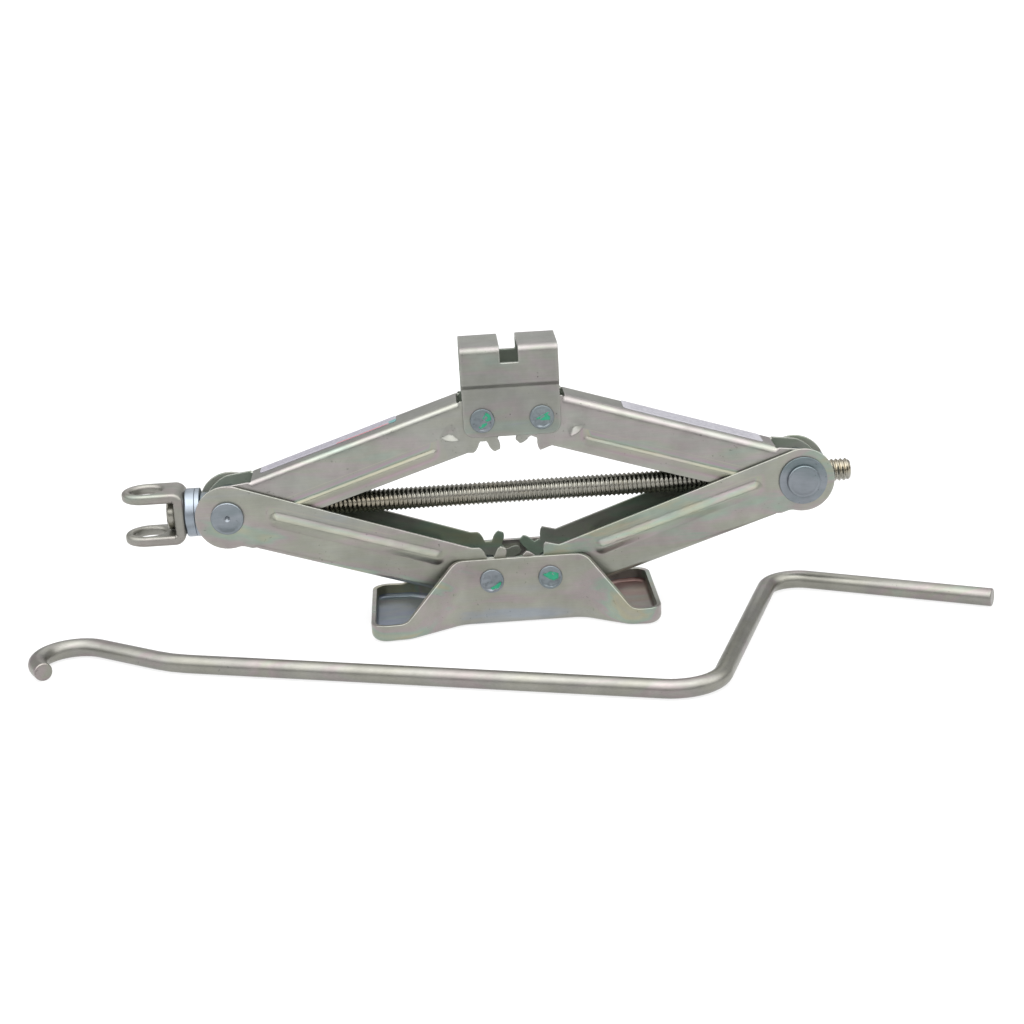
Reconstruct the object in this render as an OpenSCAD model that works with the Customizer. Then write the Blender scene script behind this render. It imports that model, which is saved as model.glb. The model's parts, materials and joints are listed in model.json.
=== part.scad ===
// Scissor car jack with its loose crank handle.
// X runs along the screw, with the drive yoke at -X. Y runs across the jack. Z is up.
// The origin is on the floor, under the middle of the two base pivots.

/* [Linkage] */
// Distance between the two pivots of each arm
arm_length = 150; // [140:1:170]
// Distance between the two pivots of the base, and of the saddle
pivot_gap = 32.6; // [32.4:0.1:33.4]
// Slope of the arms as the jack stands, in degrees
lift_angle = 17.7; // [12:0.1:30]
// Height of the base pivots above the floor
base_pivot_z = 26; // [25:0.5:30]
// Radius of the long rivets at the base and the saddle
rivet_r = 4.5; // [4:0.1:5]
// Radius of the trunnion journals at the side joints
journal_r = 7; // [6:0.1:7.5]
// Radial clearance of a turning joint
running_gap = 0.05; // [0.03:0.01:0.08]
// Radial clearance of the pivot that closes the linkage
closing_gap = 0.15; // [0.1:0.01:0.3]

/* [Arms] */
// Sheet thickness of the four arms
arm_sheet = 1.8; // [1.6:0.1:2]
// Half of the lower arms' width, to the outside of the sheet
lower_half = 16; // [15.8:0.1:16.2]
// Half of the upper arms' width, to the outside of the sheet
upper_half = 13.3; // [13.1:0.1:13.4]
// Radius of the round eye of a lower arm
lower_eye_r = 17.8; // [17:0.1:18.5]
// Radius of the round eye of an upper arm
upper_eye_r = 14.5; // [14:0.1:15]
// Outside radius of the bend between web and flange
arm_bend_r = 3; // [2.5:0.1:3.5]
// How far a stiffening bead stands out from an upper arm
upper_bead_rise = 0.6; // [0.4:0.1:0.6]
// How far a stiffening bead stands out from a lower arm
lower_bead_rise = 1; // [0.6:0.1:1.2]
// Half of a bead's width
bead_half = 2.75; // [2.4:0.05:3]

/* [Gear sectors] */
// Teeth that a full circle would hold
sector_teeth = 8; // [8:1:8]
// Pressure angle of the teeth, in degrees
pressure_angle = 25; // [24:0.5:26]
// Tip radius of the teeth
tooth_tip_r = 19.5; // [19.2:0.1:19.6]
// Root radius of the sectors
sector_root_r = 12.6; // [12.3:0.1:12.6]
// Angle taken off each flank so that meshing teeth run free, in degrees
tooth_play = 1.1; // [0.9:0.1:1.4]

/* [Saddle] */
// Height of the saddle's top above its pivots
saddle_rise = 41.2; // [38:0.2:46]
// Half of the saddle's length along X
saddle_half_x = 26.7; // [26:0.1:28]
// Half of the saddle box's width
saddle_box_half = 19.3; // [19:0.1:20]
// Sheet thickness of the saddle
saddle_sheet = 2.5; // [2:0.1:2.5]
// Width of the slot across the saddle's top
slot_w = 10; // [8:0.5:12]
// Depth of that slot
slot_depth = 9.3; // [8:0.1:12]

/* [Base] */
// Sheet thickness of the base
base_sheet = 2.5; // [2:0.1:2.5]
// Reach of the base towards the yoke
base_left = 84.5; // [80:0.5:90]
// Reach of the base away from the yoke
base_right = 76.5; // [74:0.5:82]
// Half of the foot's width at its two ends
foot_half = 38.5; // [36:0.5:40]
// Height of the lip round the foot
lip_h = 10; // [8:0.5:11]
// Height of the base's ears above the base pivots
ear_rise = 12.5; // [12:0.1:13.5]

/* [Screw and yoke] */
// Outside radius of the lifting screw
screw_r = 6.35; // [6:0.05:6.5]
// Length of the screw past the nut trunnion's axis
screw_tail = 29; // [24:1:34]
// Radius of the thrust bearing's two races
race_r = 13.5; // [13:0.1:13.8]
// Half of the yoke's width
yoke_half = 13.5; // [13:0.1:14]
// Radius of the holes in the yoke's lugs
lug_hole_r = 9.5; // [8:0.1:9.7]
// Thickness of the yoke's strip
yoke_sheet = 5.6; // [4.5:0.1:6]

/* [Crank handle] */
// Radius of the crank's rod
rod_r = 5; // [4.5:0.1:5.5]
// Length of the straight shaft, corner to corner
shaft_length = 296; // [280:1:320]
// Throw of the crank, corner to corner
throw_length = 182; // [170:1:190]
// Length of the grip, from its corner
grip_length = 128; // [110:1:140]
// Angle between grip and shaft, in degrees
grip_splay = 10.3; // [0:0.1:12]
// Middle-line radius of the hook
hook_r = 20; // [18:0.5:22]
// Turn of the crank on the floor about Z, in degrees
crank_turn = -18.7; // [-20:0.1:-17]

/* [Labels] */
// Length of the blank label on each upper arm
label_length = 81; // [60:1:82]
// Thickness of the labels
label_t = 0.25; // [0.2:0.05:0.4]

/* [Hidden] */
$fn = 64;

// Linkage
pivot_x = pivot_gap / 2;
side_x = pivot_x + arm_length * cos(lift_angle);
side_z = base_pivot_z + arm_length * sin(lift_angle);
saddle_pivot_z = base_pivot_z + 2 * arm_length * sin(lift_angle);
side_gap = 0.2;
cut = 1;

// Widths, measured from the middle plane
lower_in = lower_half - arm_sheet;
upper_in = upper_half - arm_sheet;
block_half = upper_in - 0.3;
base_in = lower_half + 0.3;
base_out = base_in + base_sheet;
saddle_in = upper_half + 0.3;
saddle_out = saddle_in + saddle_sheet;
head_h = 1.4;
head_r = 6.7;
head_edge_r = 0.6;

// Lower arm, across its own middle line
lower_web_z = 13.8;
lower_open_z = 14.8;
lower_web_start = 20;
lower_web_end = arm_length - 17;
neck_r = 7;
lower_flange_end = arm_length - 11;
lower_toe = arm_length - 6;
lower_toe_r = 6;
lower_bead_z = 6;
lower_bead = [22, arm_length - 28];

// Upper arm, across its own middle line
upper_web_z = 13.8;
upper_open_z = 14.8;
upper_web_start = 19;
upper_web_end = arm_length - 13;
upper_flange_end = arm_length - 10;
upper_toe = arm_length - 6;
upper_toe_r = 6;
upper_bead_z = 8.6;
upper_bead = [30, arm_length - 27];
dimple_x = arm_length - 19;
dimple_z = 1.2;
dimple_size = 9;
dimple_depth = 0.5;
label_corner_r = 2;
label_start_left = upper_web_start + 5;
label_start_right = upper_web_start + 6.5;
label_near_left = -2.5;
label_near_right = -7.5;
label_far_y = 10.3;

// Saddle, measured from its pivots
joggle_z = 17.5;
joggle_h = 3;
crease_r = 0.8;
crease_shift = 1.2;
saddle_bend_r = 4;
saddle_ear_drop = 9.6;
saddle_ear_r = 6;

// Base
waist_x = 33;
waist_r = 14;
flare_left = 62;
flare_right = 57;
flare_r = 12;
flare_taper = 2;
foot_corner_r = 9;
floor_inset = 1;
base_ear_x = 36;
base_ear_r = 9;
slope_left = 65;
slope_right = 60;
slope_r = 8;

// Trunnions and bearing, measured along X from the trunnion's axis
barrel_r = 12;
boss_r = 10.8;
boss_reach = 15.6;
boss_back = 14.1;
barrel_edge_r = 1;
race_t = 2.6;
ball_r = 1.48;
ball_gap = 3;
ball_circle_r = 10;
ball_count = 14;
cage_t = 2;
cage_margin = 1.2;
stack_x = boss_reach + 2 * race_t + ball_gap;
pin_head_r = 9.1;
pin_head_h = 2.2;
pin_edge_r = 0.9;
washer_r = 13.4;
washer_t = 1.5;

// Yoke
yoke_half_z = 14.8;
yoke_bend_r = 6;
lug_x = stack_x + 21.3;
screw_head_r = 8.7;
screw_head_h = 5;
screw_head_edge_r = 1.5;
screw_chamfer = 1.2;

// Crank, in its own plane with X along the shaft
neck_angle = 162;
tip_angle = 316;
tip_length = 8;
crank_pos = [-185.5, -61, rod_r];

// ---- Functions ----

function unit(v) = v / norm(v);

// Point at a distance along a heading, in degrees
function along(p, heading, d) = p + d * [cos(heading), sin(heading)];

// The arc that rounds corner b between a and c with radius r
function corner_arc(a, b, c, r, steps) =
    let (u = unit(a - b),
         v = unit(c - b),
         half = acos(u * v) / 2,
         centre = b + unit(u + v) * r / sin(half),
         p = b + u * r / tan(half) - centre,
         q = b + v * r / tan(half) - centre,
         from = atan2(p[1], p[0]),
         turn = atan2(p[0] * q[1] - p[1] * q[0], p * q))
    [for (i = [0:steps]) centre + r * [cos(from + turn * i / steps), sin(from + turn * i / steps)]];

// Outline from [x, y, radius] corners, where radius 0 is a sharp corner
function rounded(corners, steps = 6) =
    [for (i = [0:len(corners) - 1])
        let (n = len(corners),
             b = corners[i],
             a = corners[(i + n - 1) % n],
             c = corners[(i + 1) % n])
        each (b[2] == 0 ? [[b[0], b[1]]]
            : corner_arc([a[0], a[1]], [b[0], b[1]], [c[0], c[1]], b[2], steps))];

// Involute of an angle, in degrees
function involute(a) = tan(a) * 180 / PI - a;

// Half of a tooth's angle at radius r
function tooth_half(r) =
    let (pitch_r = pivot_gap / 2,
         base_r = pitch_r * cos(pressure_angle))
    90 / sector_teeth + involute(pressure_angle) - tooth_play
        - (r > base_r ? involute(acos(base_r / r)) : 0);

// Outline of the tooth whose middle lies at an angle
function tooth(angle, steps = 6) =
    let (foot_r = sector_root_r - cut,
         radii = [for (i = [0:steps]) pow(i / steps, 0.8) * (tooth_tip_r - foot_r) + foot_r])
    concat([for (r = radii) r * [cos(angle - tooth_half(r)), sin(angle - tooth_half(r))]],
           [for (i = [steps:-1:0]) radii[i] * [cos(angle + tooth_half(radii[i])),
                                               sin(angle + tooth_half(radii[i]))]]);

// ---- Shared shapes ----

// A 2D outline in X and Z, extruded from y0 to y1
module across(y0, y1) {
    translate([0, y1, 0])
        rotate([90, 0, 0])
            linear_extrude(y1 - y0)
                children();
}

// A cylinder along Y from y0 to y1
module y_pin(r, y0, y1) {
    translate([0, y1, 0])
        rotate([90, 0, 0])
            cylinder(r = r, h = y1 - y0);
}

// A cylinder along X from x0 to x1
module x_pin(r, x0, x1) {
    translate([x0, 0, 0])
        rotate([0, 90, 0])
            cylinder(r = r, h = x1 - x0);
}

// Places the shape on both sides of the middle plane
module both_sides() {
    children();
    mirror([0, 1, 0]) children();
}

// Sector of gear teeth about the inner pivot of an arm
module gear_sector(first_angle) {
    circle(r = sector_root_r);
    for (i = [0:3])
        polygon(tooth(first_angle + i * 360 / sector_teeth));
}

// Flange of a lower arm, with its middle line on X and its side pivot at 0.
// A hollow neck of radius neck_r joins the round eye to the edge beside the web.
module lower_flange_outline(first_angle) {
    neck_z = lower_web_z + neck_r;
    neck_x = sqrt(pow(lower_eye_r + neck_r, 2) - pow(neck_z, 2));
    from = atan2(neck_z, -neck_x);
    circle(r = lower_eye_r);
    polygon(concat(
        rounded([[0, 0, 0], [0, lower_eye_r, 0], [lower_flange_end, lower_open_z, 0],
                 [arm_length, 0, 0], [lower_toe, -lower_web_z, lower_toe_r],
                 [neck_x + cut, -lower_web_z, 0]]),
        [for (i = [0:6])
            let (a = 90 + (from - 90) * i / 6)
            [neck_x, -neck_z] + neck_r * [cos(a), sin(a)]]));
    translate([arm_length, 0]) gear_sector(first_angle);
}

// Flange of an upper arm, in the same axes
module upper_flange_outline(first_angle) {
    circle(r = upper_eye_r);
    polygon(rounded([[0, upper_eye_r, 0], [upper_flange_end, upper_open_z, 0],
                     [arm_length, 0, 0], [upper_toe, -upper_web_z, upper_toe_r],
                     [0, -upper_web_z, 0]]));
    translate([arm_length, 0]) gear_sector(first_angle);
}

// Cross-section of a channel's web and the two bends beside it, in Y and Z
module channel_section(half, web_z) {
    r = arm_bend_r;
    difference() {
        polygon(rounded([[-half, -web_z, r], [half, -web_z, r], [half, -web_z + r, 0],
                         [-half, -web_z + r, 0]]));
        polygon(rounded([[-half + arm_sheet, -web_z + arm_sheet, r - arm_sheet],
                         [half - arm_sheet, -web_z + arm_sheet, r - arm_sheet],
                         [half - arm_sheet, -web_z + r + cut, 0],
                         [-half + arm_sheet, -web_z + r + cut, 0]]));
    }
}

// The web of a channel with its bends, from x0 to x1
module channel_web(half, web_z, x0, x1) {
    translate([x0, 0, 0])
        rotate([90, 0, 90])
            linear_extrude(x1 - x0)
                channel_section(half, web_z);
}

// Raised bead along a flange from x0 to x1, standing out at +Y
module bead(x0, x1, z, face_y, rise) {
    crown_r = (bead_half * bead_half + rise * rise) / (2 * rise);
    root = 0.2;
    side = bead_half + 0.1;
    intersection() {
        translate([0, face_y + rise - crown_r, z])
            x_pin(crown_r, x0, x1);
        translate([x0, face_y - root, z - bead_half])
            cube([x1 - x0, rise + cut, 2 * bead_half]);
        across(face_y - cut, face_y + rise + cut)
            polygon(rounded([[x0, z - side, bead_half], [x1, z - side, bead_half],
                             [x1, z + side, bead_half], [x0, z + side, bead_half]]));
    }
}

// A full lower arm in its own axes
module lower_arm(first_angle) {
    difference() {
        union() {
            both_sides()
                across(lower_in, lower_half)
                    difference() {
                        lower_flange_outline(first_angle);
                        translate([lower_web_start, -lower_web_z])
                            square([lower_web_end - lower_web_start, arm_bend_r]);
                    }
            channel_web(lower_half, lower_web_z, lower_web_start, lower_web_end);
            both_sides()
                bead(lower_bead[0], lower_bead[1], lower_bead_z, lower_half, lower_bead_rise);
        }
        y_pin(journal_r + running_gap, -lower_half - cut, lower_half + cut);
        translate([arm_length, 0, 0])
            y_pin(rivet_r + running_gap, -lower_half - cut, lower_half + cut);
    }
}

// A full upper arm in its own axes, with the clearance of its inner pivot
module upper_arm(first_angle, pivot_clearance) {
    difference() {
        union() {
            both_sides()
                across(upper_in, upper_half)
                    difference() {
                        upper_flange_outline(first_angle);
                        translate([upper_web_start, -upper_web_z])
                            square([upper_web_end - upper_web_start, arm_bend_r]);
                    }
            channel_web(upper_half, upper_web_z, upper_web_start, upper_web_end);
            both_sides()
                bead(upper_bead[0], upper_bead[1], upper_bead_z, upper_half, upper_bead_rise);
        }
        y_pin(journal_r + running_gap, -upper_half - cut, upper_half + cut);
        translate([arm_length, 0, 0])
            y_pin(rivet_r + pivot_clearance, -upper_half - cut, upper_half + cut);
        both_sides()
            across(upper_half - dimple_depth, upper_half + cut)
                translate([dimple_x, dimple_z])
                    rotate(lift_angle)
                        polygon([for (a = [90, 210, 330]) dimple_size / 2 * [cos(a), sin(a)]]);
    }
}

// Puts an arm's own axes at the left side joint, running down to the base
module at_lower_left() {
    translate([-side_x, 0, side_z])
        rotate([0, lift_angle, 0])
            children();
}

// The same, running up to the saddle
module at_upper_left() {
    translate([0, 0, 2 * side_z])
        mirror([0, 0, 1])
            at_lower_left()
                children();
}

// ---- Arms ----

// Teeth of the left arms straddle the line of centres as the jack stands.
// Teeth of the right arms point along it.
left_first = lift_angle - 180 / sector_teeth;
right_first = lift_angle;

module lower_arm_left() {
    color([0.70, 0.69, 0.64])
        at_lower_left()
            lower_arm(left_first);
}

module lower_arm_right() {
    color([0.70, 0.69, 0.64])
        mirror([1, 0, 0])
            at_lower_left()
                lower_arm(right_first);
}

module upper_arm_left() {
    color([0.68, 0.68, 0.66])
        at_upper_left()
            upper_arm(left_first, running_gap);
}

module upper_arm_right() {
    color([0.68, 0.68, 0.66])
        mirror([1, 0, 0])
            at_upper_left()
                upper_arm(right_first, closing_gap);
}

// Blank label on the web of an upper arm, in the arm's own axes
module label(x0, near_y) {
    x1 = x0 + label_length;
    translate([0, 0, -upper_web_z - label_t])
        linear_extrude(label_t)
            polygon(rounded([[x0, near_y, label_corner_r], [x1, near_y, label_corner_r],
                             [x1, label_far_y, label_corner_r], [x0, label_far_y, label_corner_r]]));
}

module label_left() {
    color([0.90, 0.90, 0.90])
        at_upper_left()
            label(label_start_left, label_near_left);
}

module label_right() {
    color([0.90, 0.90, 0.90])
        mirror([1, 0, 0])
            at_upper_left()
                label(label_start_right, label_near_right);
}

// ---- Saddle ----

// Half of the saddle's sheet in Y and Z, with Z measured from the pivots
module saddle_half_section() {
    box_in = saddle_box_half - saddle_sheet;
    roof = saddle_rise - saddle_sheet;
    bottom = -saddle_ear_drop - cut;
    outer = rounded([[0, saddle_rise, 0], [saddle_box_half, saddle_rise, saddle_bend_r],
                     [saddle_box_half, joggle_z + joggle_h, crease_r], [saddle_out, joggle_z, crease_r],
                     [saddle_out, bottom, 0]]);
    inner = rounded([[saddle_in, bottom, 0], [saddle_in, joggle_z + crease_shift, crease_r],
                     [box_in, joggle_z + joggle_h + crease_shift, crease_r],
                     [box_in, roof, saddle_bend_r - saddle_sheet], [0, roof, 0]]);
    polygon(concat(outer, inner));
}

// Front view of the saddle, with its rounded ears and the slot
module saddle_front() {
    difference() {
        polygon(rounded([[-saddle_half_x, -saddle_ear_drop, saddle_ear_r],
                         [saddle_half_x, -saddle_ear_drop, saddle_ear_r],
                         [saddle_half_x, saddle_rise + cut, 0],
                         [-saddle_half_x, saddle_rise + cut, 0]]));
        translate([-slot_w / 2, saddle_rise - slot_depth])
            square([slot_w, slot_depth + 2 * cut]);
    }
}

module saddle() {
    color([0.62, 0.62, 0.60])
        translate([0, 0, saddle_pivot_z])
            difference() {
                intersection() {
                    both_sides()
                        translate([-saddle_half_x - cut, 0, 0])
                            rotate([90, 0, 90])
                                linear_extrude(2 * (saddle_half_x + cut))
                                    saddle_half_section();
                    across(-saddle_box_half - cut, saddle_box_half + cut)
                        saddle_front();
                }
                for (x = [-pivot_x, pivot_x])
                    translate([x, 0, 0])
                        y_pin(rivet_r, -saddle_box_half - cut, saddle_box_half + cut);
            }
}

// ---- Base ----

// Plan of the foot inside its sheet by d
module foot_plan(d) {
    r = foot_corner_r - d;
    waist = base_out - d;
    wide = foot_half - d;
    flare = wide - flare_taper;
    left = -base_left + d;
    right = base_right - d;
    polygon(rounded([[-waist_x, -waist, waist_r], [-flare_left, -flare, flare_r],
                     [left, -wide, r], [left, wide, r],
                     [-flare_left, flare, flare_r], [-waist_x, waist, waist_r],
                     [waist_x, waist, waist_r], [flare_right, flare, flare_r],
                     [right, wide, r], [right, -wide, r],
                     [flare_right, -flare, flare_r], [waist_x, -waist, waist_r]]));
}

// Front view of the base: lips at the ends, ears in the middle
module base_front() {
    ear_top = base_pivot_z + ear_rise;
    polygon(rounded([[-base_left - cut, -cut, 0], [base_right + cut, -cut, 0],
                     [base_right + cut, lip_h, 0], [slope_right, lip_h, slope_r],
                     [base_ear_x, ear_top, base_ear_r], [-base_ear_x, ear_top, base_ear_r],
                     [-slope_left, lip_h, slope_r], [-base_left - cut, lip_h, 0]]));
}

module base() {
    color([0.66, 0.65, 0.61])
        difference() {
            union() {
                intersection() {
                    linear_extrude(base_pivot_z + ear_rise + cut)
                        difference() {
                            foot_plan(0);
                            foot_plan(base_sheet);
                        }
                    across(-foot_half - cut, foot_half + cut)
                        base_front();
                }
                linear_extrude(base_sheet)
                    foot_plan(floor_inset);
            }
            for (x = [-pivot_x, pivot_x])
                translate([x, 0, base_pivot_z])
                    y_pin(rivet_r, -foot_half - cut, foot_half + cut);
        }
}

// ---- Rivets ----

// Long rivet along Y, with low upset heads that bear on faces at +-face_y
module long_rivet(face_y) {
    shank = [[0, 0], [rivet_r, 0], [rivet_r, face_y]];
    head = rounded([[head_r, face_y, 0], [head_r, face_y + head_h, head_edge_r], [0, face_y + head_h, 0]]);
    rotate([90, 0, 0])
        rotate_extrude()
            polygon(concat(shank, head));
    rotate([-90, 0, 0])
        rotate_extrude()
            polygon(concat(shank, head));
}

module base_rivet_left() {
    color([0.62, 0.66, 0.70])
        translate([-pivot_x, 0, base_pivot_z])
            long_rivet(base_out);
}

module base_rivet_right() {
    color([0.62, 0.66, 0.70])
        translate([pivot_x, 0, base_pivot_z])
            long_rivet(base_out);
}

module saddle_rivet_left() {
    color([0.62, 0.66, 0.70])
        translate([-pivot_x, 0, saddle_pivot_z])
            long_rivet(saddle_out);
}

module saddle_rivet_right() {
    color([0.62, 0.66, 0.70])
        translate([pivot_x, 0, saddle_pivot_z])
            long_rivet(saddle_out);
}

// ---- Side joints ----

// Forged cross-piece with a screw bore along X, and a journal with an upset head on each side
module trunnion(head_y) {
    profile = rounded([[0, 0, 0], [barrel_r, 0, 0], [barrel_r, block_half, barrel_edge_r],
                       [journal_r, block_half, 0], [journal_r, head_y, 0], [pin_head_r, head_y, 0],
                       [pin_head_r, head_y + pin_head_h, pin_edge_r], [0, head_y + pin_head_h, 0]]);
    difference() {
        union() {
            for (a = [90, -90])
                rotate([a, 0, 0])
                    rotate_extrude()
                        polygon(profile);
            x_pin(boss_r, -boss_reach, boss_back);
        }
        x_pin(screw_r + running_gap, -boss_reach - cut, boss_reach + cut);
    }
}

module thrust_trunnion() {
    color([0.66, 0.69, 0.74])
        translate([-side_x, 0, side_z])
            trunnion(lower_half + side_gap);
}

module nut_trunnion() {
    color([0.66, 0.69, 0.74])
        translate([side_x, 0, side_z])
            trunnion(lower_half + side_gap + washer_t);
}

// The two washers under the nut trunnion's heads
module nut_pin_washers() {
    color([0.66, 0.69, 0.74])
        translate([side_x, 0, side_z])
            both_sides()
                difference() {
                    y_pin(washer_r, lower_half + side_gap, lower_half + side_gap + washer_t);
                    y_pin(journal_r, lower_half, lower_half + side_gap + washer_t + cut);
                }
}

// ---- Thrust bearing, screw and yoke, measured from the left trunnion's axis ----

module on_left_axis() {
    translate([-side_x, 0, side_z])
        children();
}

// Ring along X between x0 and x1
module ring(r_out, r_in, x0, x1) {
    difference() {
        x_pin(r_out, x0, x1);
        x_pin(r_in, x0 - cut, x1 + cut);
    }
}

module inner_race() {
    color([0.75, 0.78, 0.84])
        on_left_axis()
            ring(race_r, screw_r + running_gap, -boss_reach - race_t, -boss_reach);
}

module ball_cage() {
    middle = -boss_reach - race_t - ball_gap / 2;
    color([0.55, 0.55, 0.55])
        on_left_axis() {
            ring(race_r - cage_margin, screw_r + cage_margin, middle - cage_t / 2, middle + cage_t / 2);
            for (i = [0:ball_count - 1])
                rotate([i * 360 / ball_count, 0, 0])
                    translate([middle, 0, ball_circle_r])
                        sphere(r = ball_r);
        }
}

module outer_race() {
    color([0.75, 0.78, 0.84])
        on_left_axis()
            ring(race_r, screw_r, -stack_x, -stack_x + race_t);
}

// Lifting screw with the peened head that holds the yoke
module lifting_screw() {
    head_x = stack_x + yoke_sheet;
    tail = 2 * side_x + screw_tail;
    head = rounded([[screw_head_r, head_x, 0],
                    [screw_head_r, head_x + screw_head_h, screw_head_edge_r],
                    [0, head_x + screw_head_h, 0]]);
    color([0.58, 0.56, 0.50])
        on_left_axis()
            rotate([0, -90, 0])
                rotate_extrude()
                    polygon(concat([[0, -tail], [screw_r - screw_chamfer, -tail]],
                                   [[screw_r, -tail + screw_chamfer], [screw_r, head_x]], head));
}

// Yoke bent from a strip: a plate on the screw and two lugs that take the crank's hook
module drive_yoke() {
    lug_in = yoke_half_z - yoke_sheet;
    color([0.55, 0.54, 0.47])
        on_left_axis()
            difference() {
                intersection() {
                    across(-yoke_half - cut, yoke_half + cut)
                        polygon(rounded([[-stack_x, -yoke_half_z, yoke_bend_r],
                                         [-stack_x, yoke_half_z, yoke_bend_r],
                                         [-lug_x - yoke_half, yoke_half_z, 0],
                                         [-lug_x - yoke_half, lug_in, 0],
                                         [-stack_x - yoke_sheet, lug_in, yoke_bend_r - yoke_sheet],
                                         [-stack_x - yoke_sheet, -lug_in, yoke_bend_r - yoke_sheet],
                                         [-lug_x - yoke_half, -lug_in, 0],
                                         [-lug_x - yoke_half, -yoke_half_z, 0]]));
                    union() {
                        translate([-lug_x, 0, -yoke_half_z - cut])
                            cylinder(r = yoke_half, h = 2 * (yoke_half_z + cut));
                        translate([-lug_x, -yoke_half, -yoke_half_z - cut])
                            cube([lug_x, 2 * yoke_half, 2 * (yoke_half_z + cut)]);
                    }
                }
                translate([-lug_x, 0, -yoke_half_z - cut])
                    cylinder(r = lug_hole_r, h = 2 * (yoke_half_z + cut));
                x_pin(screw_r, -stack_x - yoke_sheet - cut, -stack_x + cut);
            }
}

// ---- Crank handle ----

// Corners of the rod's middle line from grip to hook tip, with bend radii.
// The hook's corner is where its neck and its tip would meet if they ran straight on.
neck = [-7, 0];
neck_run = 52.4;
bend_run = hook_r * tan((tip_angle - neck_angle) / 2);
throw_foot = neck + [shaft_length, 0];
throw_head = throw_foot + [0, throw_length];
hook_corner = along(neck, neck_angle, neck_run + bend_run);
crank_path = [along(throw_head, -grip_splay, grip_length), throw_head, throw_foot, neck, hook_corner,
              along(hook_corner, tip_angle, bend_run + tip_length)];
crank_radii = [0, 18, 26, 60, hook_r, 0];
bend_lap = 0.4;
bend_ease = 0.03;

// Angle through which the path turns at corner i
function turn_at(i) =
    let (u = crank_path[i] - crank_path[i - 1],
         v = crank_path[i + 1] - crank_path[i])
    atan2(u[0] * v[1] - u[1] * v[0], u * v);

// Length that the bend at corner i takes from each straight beside it
function bend_cut(i) =
    crank_radii[i] == 0 ? 0 : crank_radii[i] * tan(abs(turn_at(i)) / 2);

// Straight rod from corner i to the next, cut back for the bends but lapping into them a little
module crank_straight(i) {
    step = crank_path[i + 1] - crank_path[i];
    lap_a = crank_radii[i] == 0 ? 0 : bend_lap;
    lap_b = crank_radii[i + 1] == 0 ? 0 : bend_lap;
    translate([crank_path[i][0], crank_path[i][1], 0])
        rotate([0, 0, atan2(step[1], step[0])])
            x_pin(rod_r, bend_cut(i) - lap_a, norm(step) - bend_cut(i + 1) + lap_b);
}

// Bent rod at corner i
module crank_bend(i) {
    step = crank_path[i] - crank_path[i - 1];
    side = turn_at(i) > 0 ? 1 : -1;
    translate([crank_path[i][0], crank_path[i][1], 0])
        rotate([0, 0, atan2(step[1], step[0])])
            translate([-bend_cut(i), side * crank_radii[i], 0])
                rotate([0, 0, side > 0 ? -90 : 90 + turn_at(i)])
                    rotate_extrude(angle = abs(turn_at(i)))
                        translate([crank_radii[i], 0])
                            circle(r = rod_r - bend_ease);
}

module crank_handle() {
    color([0.62, 0.60, 0.56])
        translate(crank_pos)
            rotate([0, 0, crank_turn]) {
                for (i = [0:len(crank_path) - 2])
                    crank_straight(i);
                for (i = [1:len(crank_path) - 2])
                    crank_bend(i);
            }
}

base();
lower_arm_left();
lower_arm_right();
upper_arm_left();
upper_arm_right();
saddle();
base_rivet_left();
base_rivet_right();
saddle_rivet_left();
saddle_rivet_right();
thrust_trunnion();
nut_trunnion();
nut_pin_washers();
inner_race();
ball_cage();
outer_race();
lifting_screw();
drive_yoke();
label_left();
label_right();
crank_handle();
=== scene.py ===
"""Looks of a scissor jack and its loose crank handle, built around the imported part."""

import json
from math import acos, atan2, ceil, copysign, cos, degrees, dist, hypot, pi, radians, sin, sqrt, tan
from types import SimpleNamespace

import bmesh
import bpy
import numpy as np
from mathutils import Matrix, Vector, kdtree, noise
from mathutils.geometry import delaunay_2d_cdt


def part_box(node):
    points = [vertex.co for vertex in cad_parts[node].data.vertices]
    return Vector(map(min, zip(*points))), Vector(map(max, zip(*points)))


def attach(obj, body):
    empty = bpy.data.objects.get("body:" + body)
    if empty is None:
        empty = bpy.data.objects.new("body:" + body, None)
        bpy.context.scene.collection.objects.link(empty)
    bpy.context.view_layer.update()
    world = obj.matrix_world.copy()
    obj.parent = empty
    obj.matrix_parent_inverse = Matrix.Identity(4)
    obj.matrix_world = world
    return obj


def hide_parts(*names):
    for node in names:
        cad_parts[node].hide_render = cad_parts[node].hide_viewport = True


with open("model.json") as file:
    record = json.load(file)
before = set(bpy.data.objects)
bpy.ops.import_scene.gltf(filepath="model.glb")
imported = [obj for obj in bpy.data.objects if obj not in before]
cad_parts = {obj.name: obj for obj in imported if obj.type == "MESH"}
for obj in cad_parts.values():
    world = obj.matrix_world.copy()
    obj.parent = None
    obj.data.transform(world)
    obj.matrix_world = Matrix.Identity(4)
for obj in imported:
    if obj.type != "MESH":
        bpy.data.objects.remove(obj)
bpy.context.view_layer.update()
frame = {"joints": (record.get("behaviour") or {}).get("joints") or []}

MM = 0.001
PIVOT = {j["name"]: Vector(j.get("pos_m") or (0, 0, 0)) / MM for j in frame["joints"]}
PIVOT_X = -PIVOT["lift"].x
BASE_Z = PIVOT["lift"].z
SIDE_X = -PIVOT["upper_left_hinge"].x
SIDE_Z = PIVOT["upper_left_hinge"].z
SADDLE_Z = PIVOT["saddle_hinge"].z
ARM = hypot(SIDE_X - PIVOT_X, SIDE_Z - BASE_Z)
LIFT = degrees(atan2(SIDE_Z - BASE_Z, SIDE_X - PIVOT_X))

# Millimetres that several pieces share. Half widths over the arms' flanges, and the depth of their webs:
UPPER_HALF, LOWER_HALF, WEB_Z = 13.3, 16.0, 13.8
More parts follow.
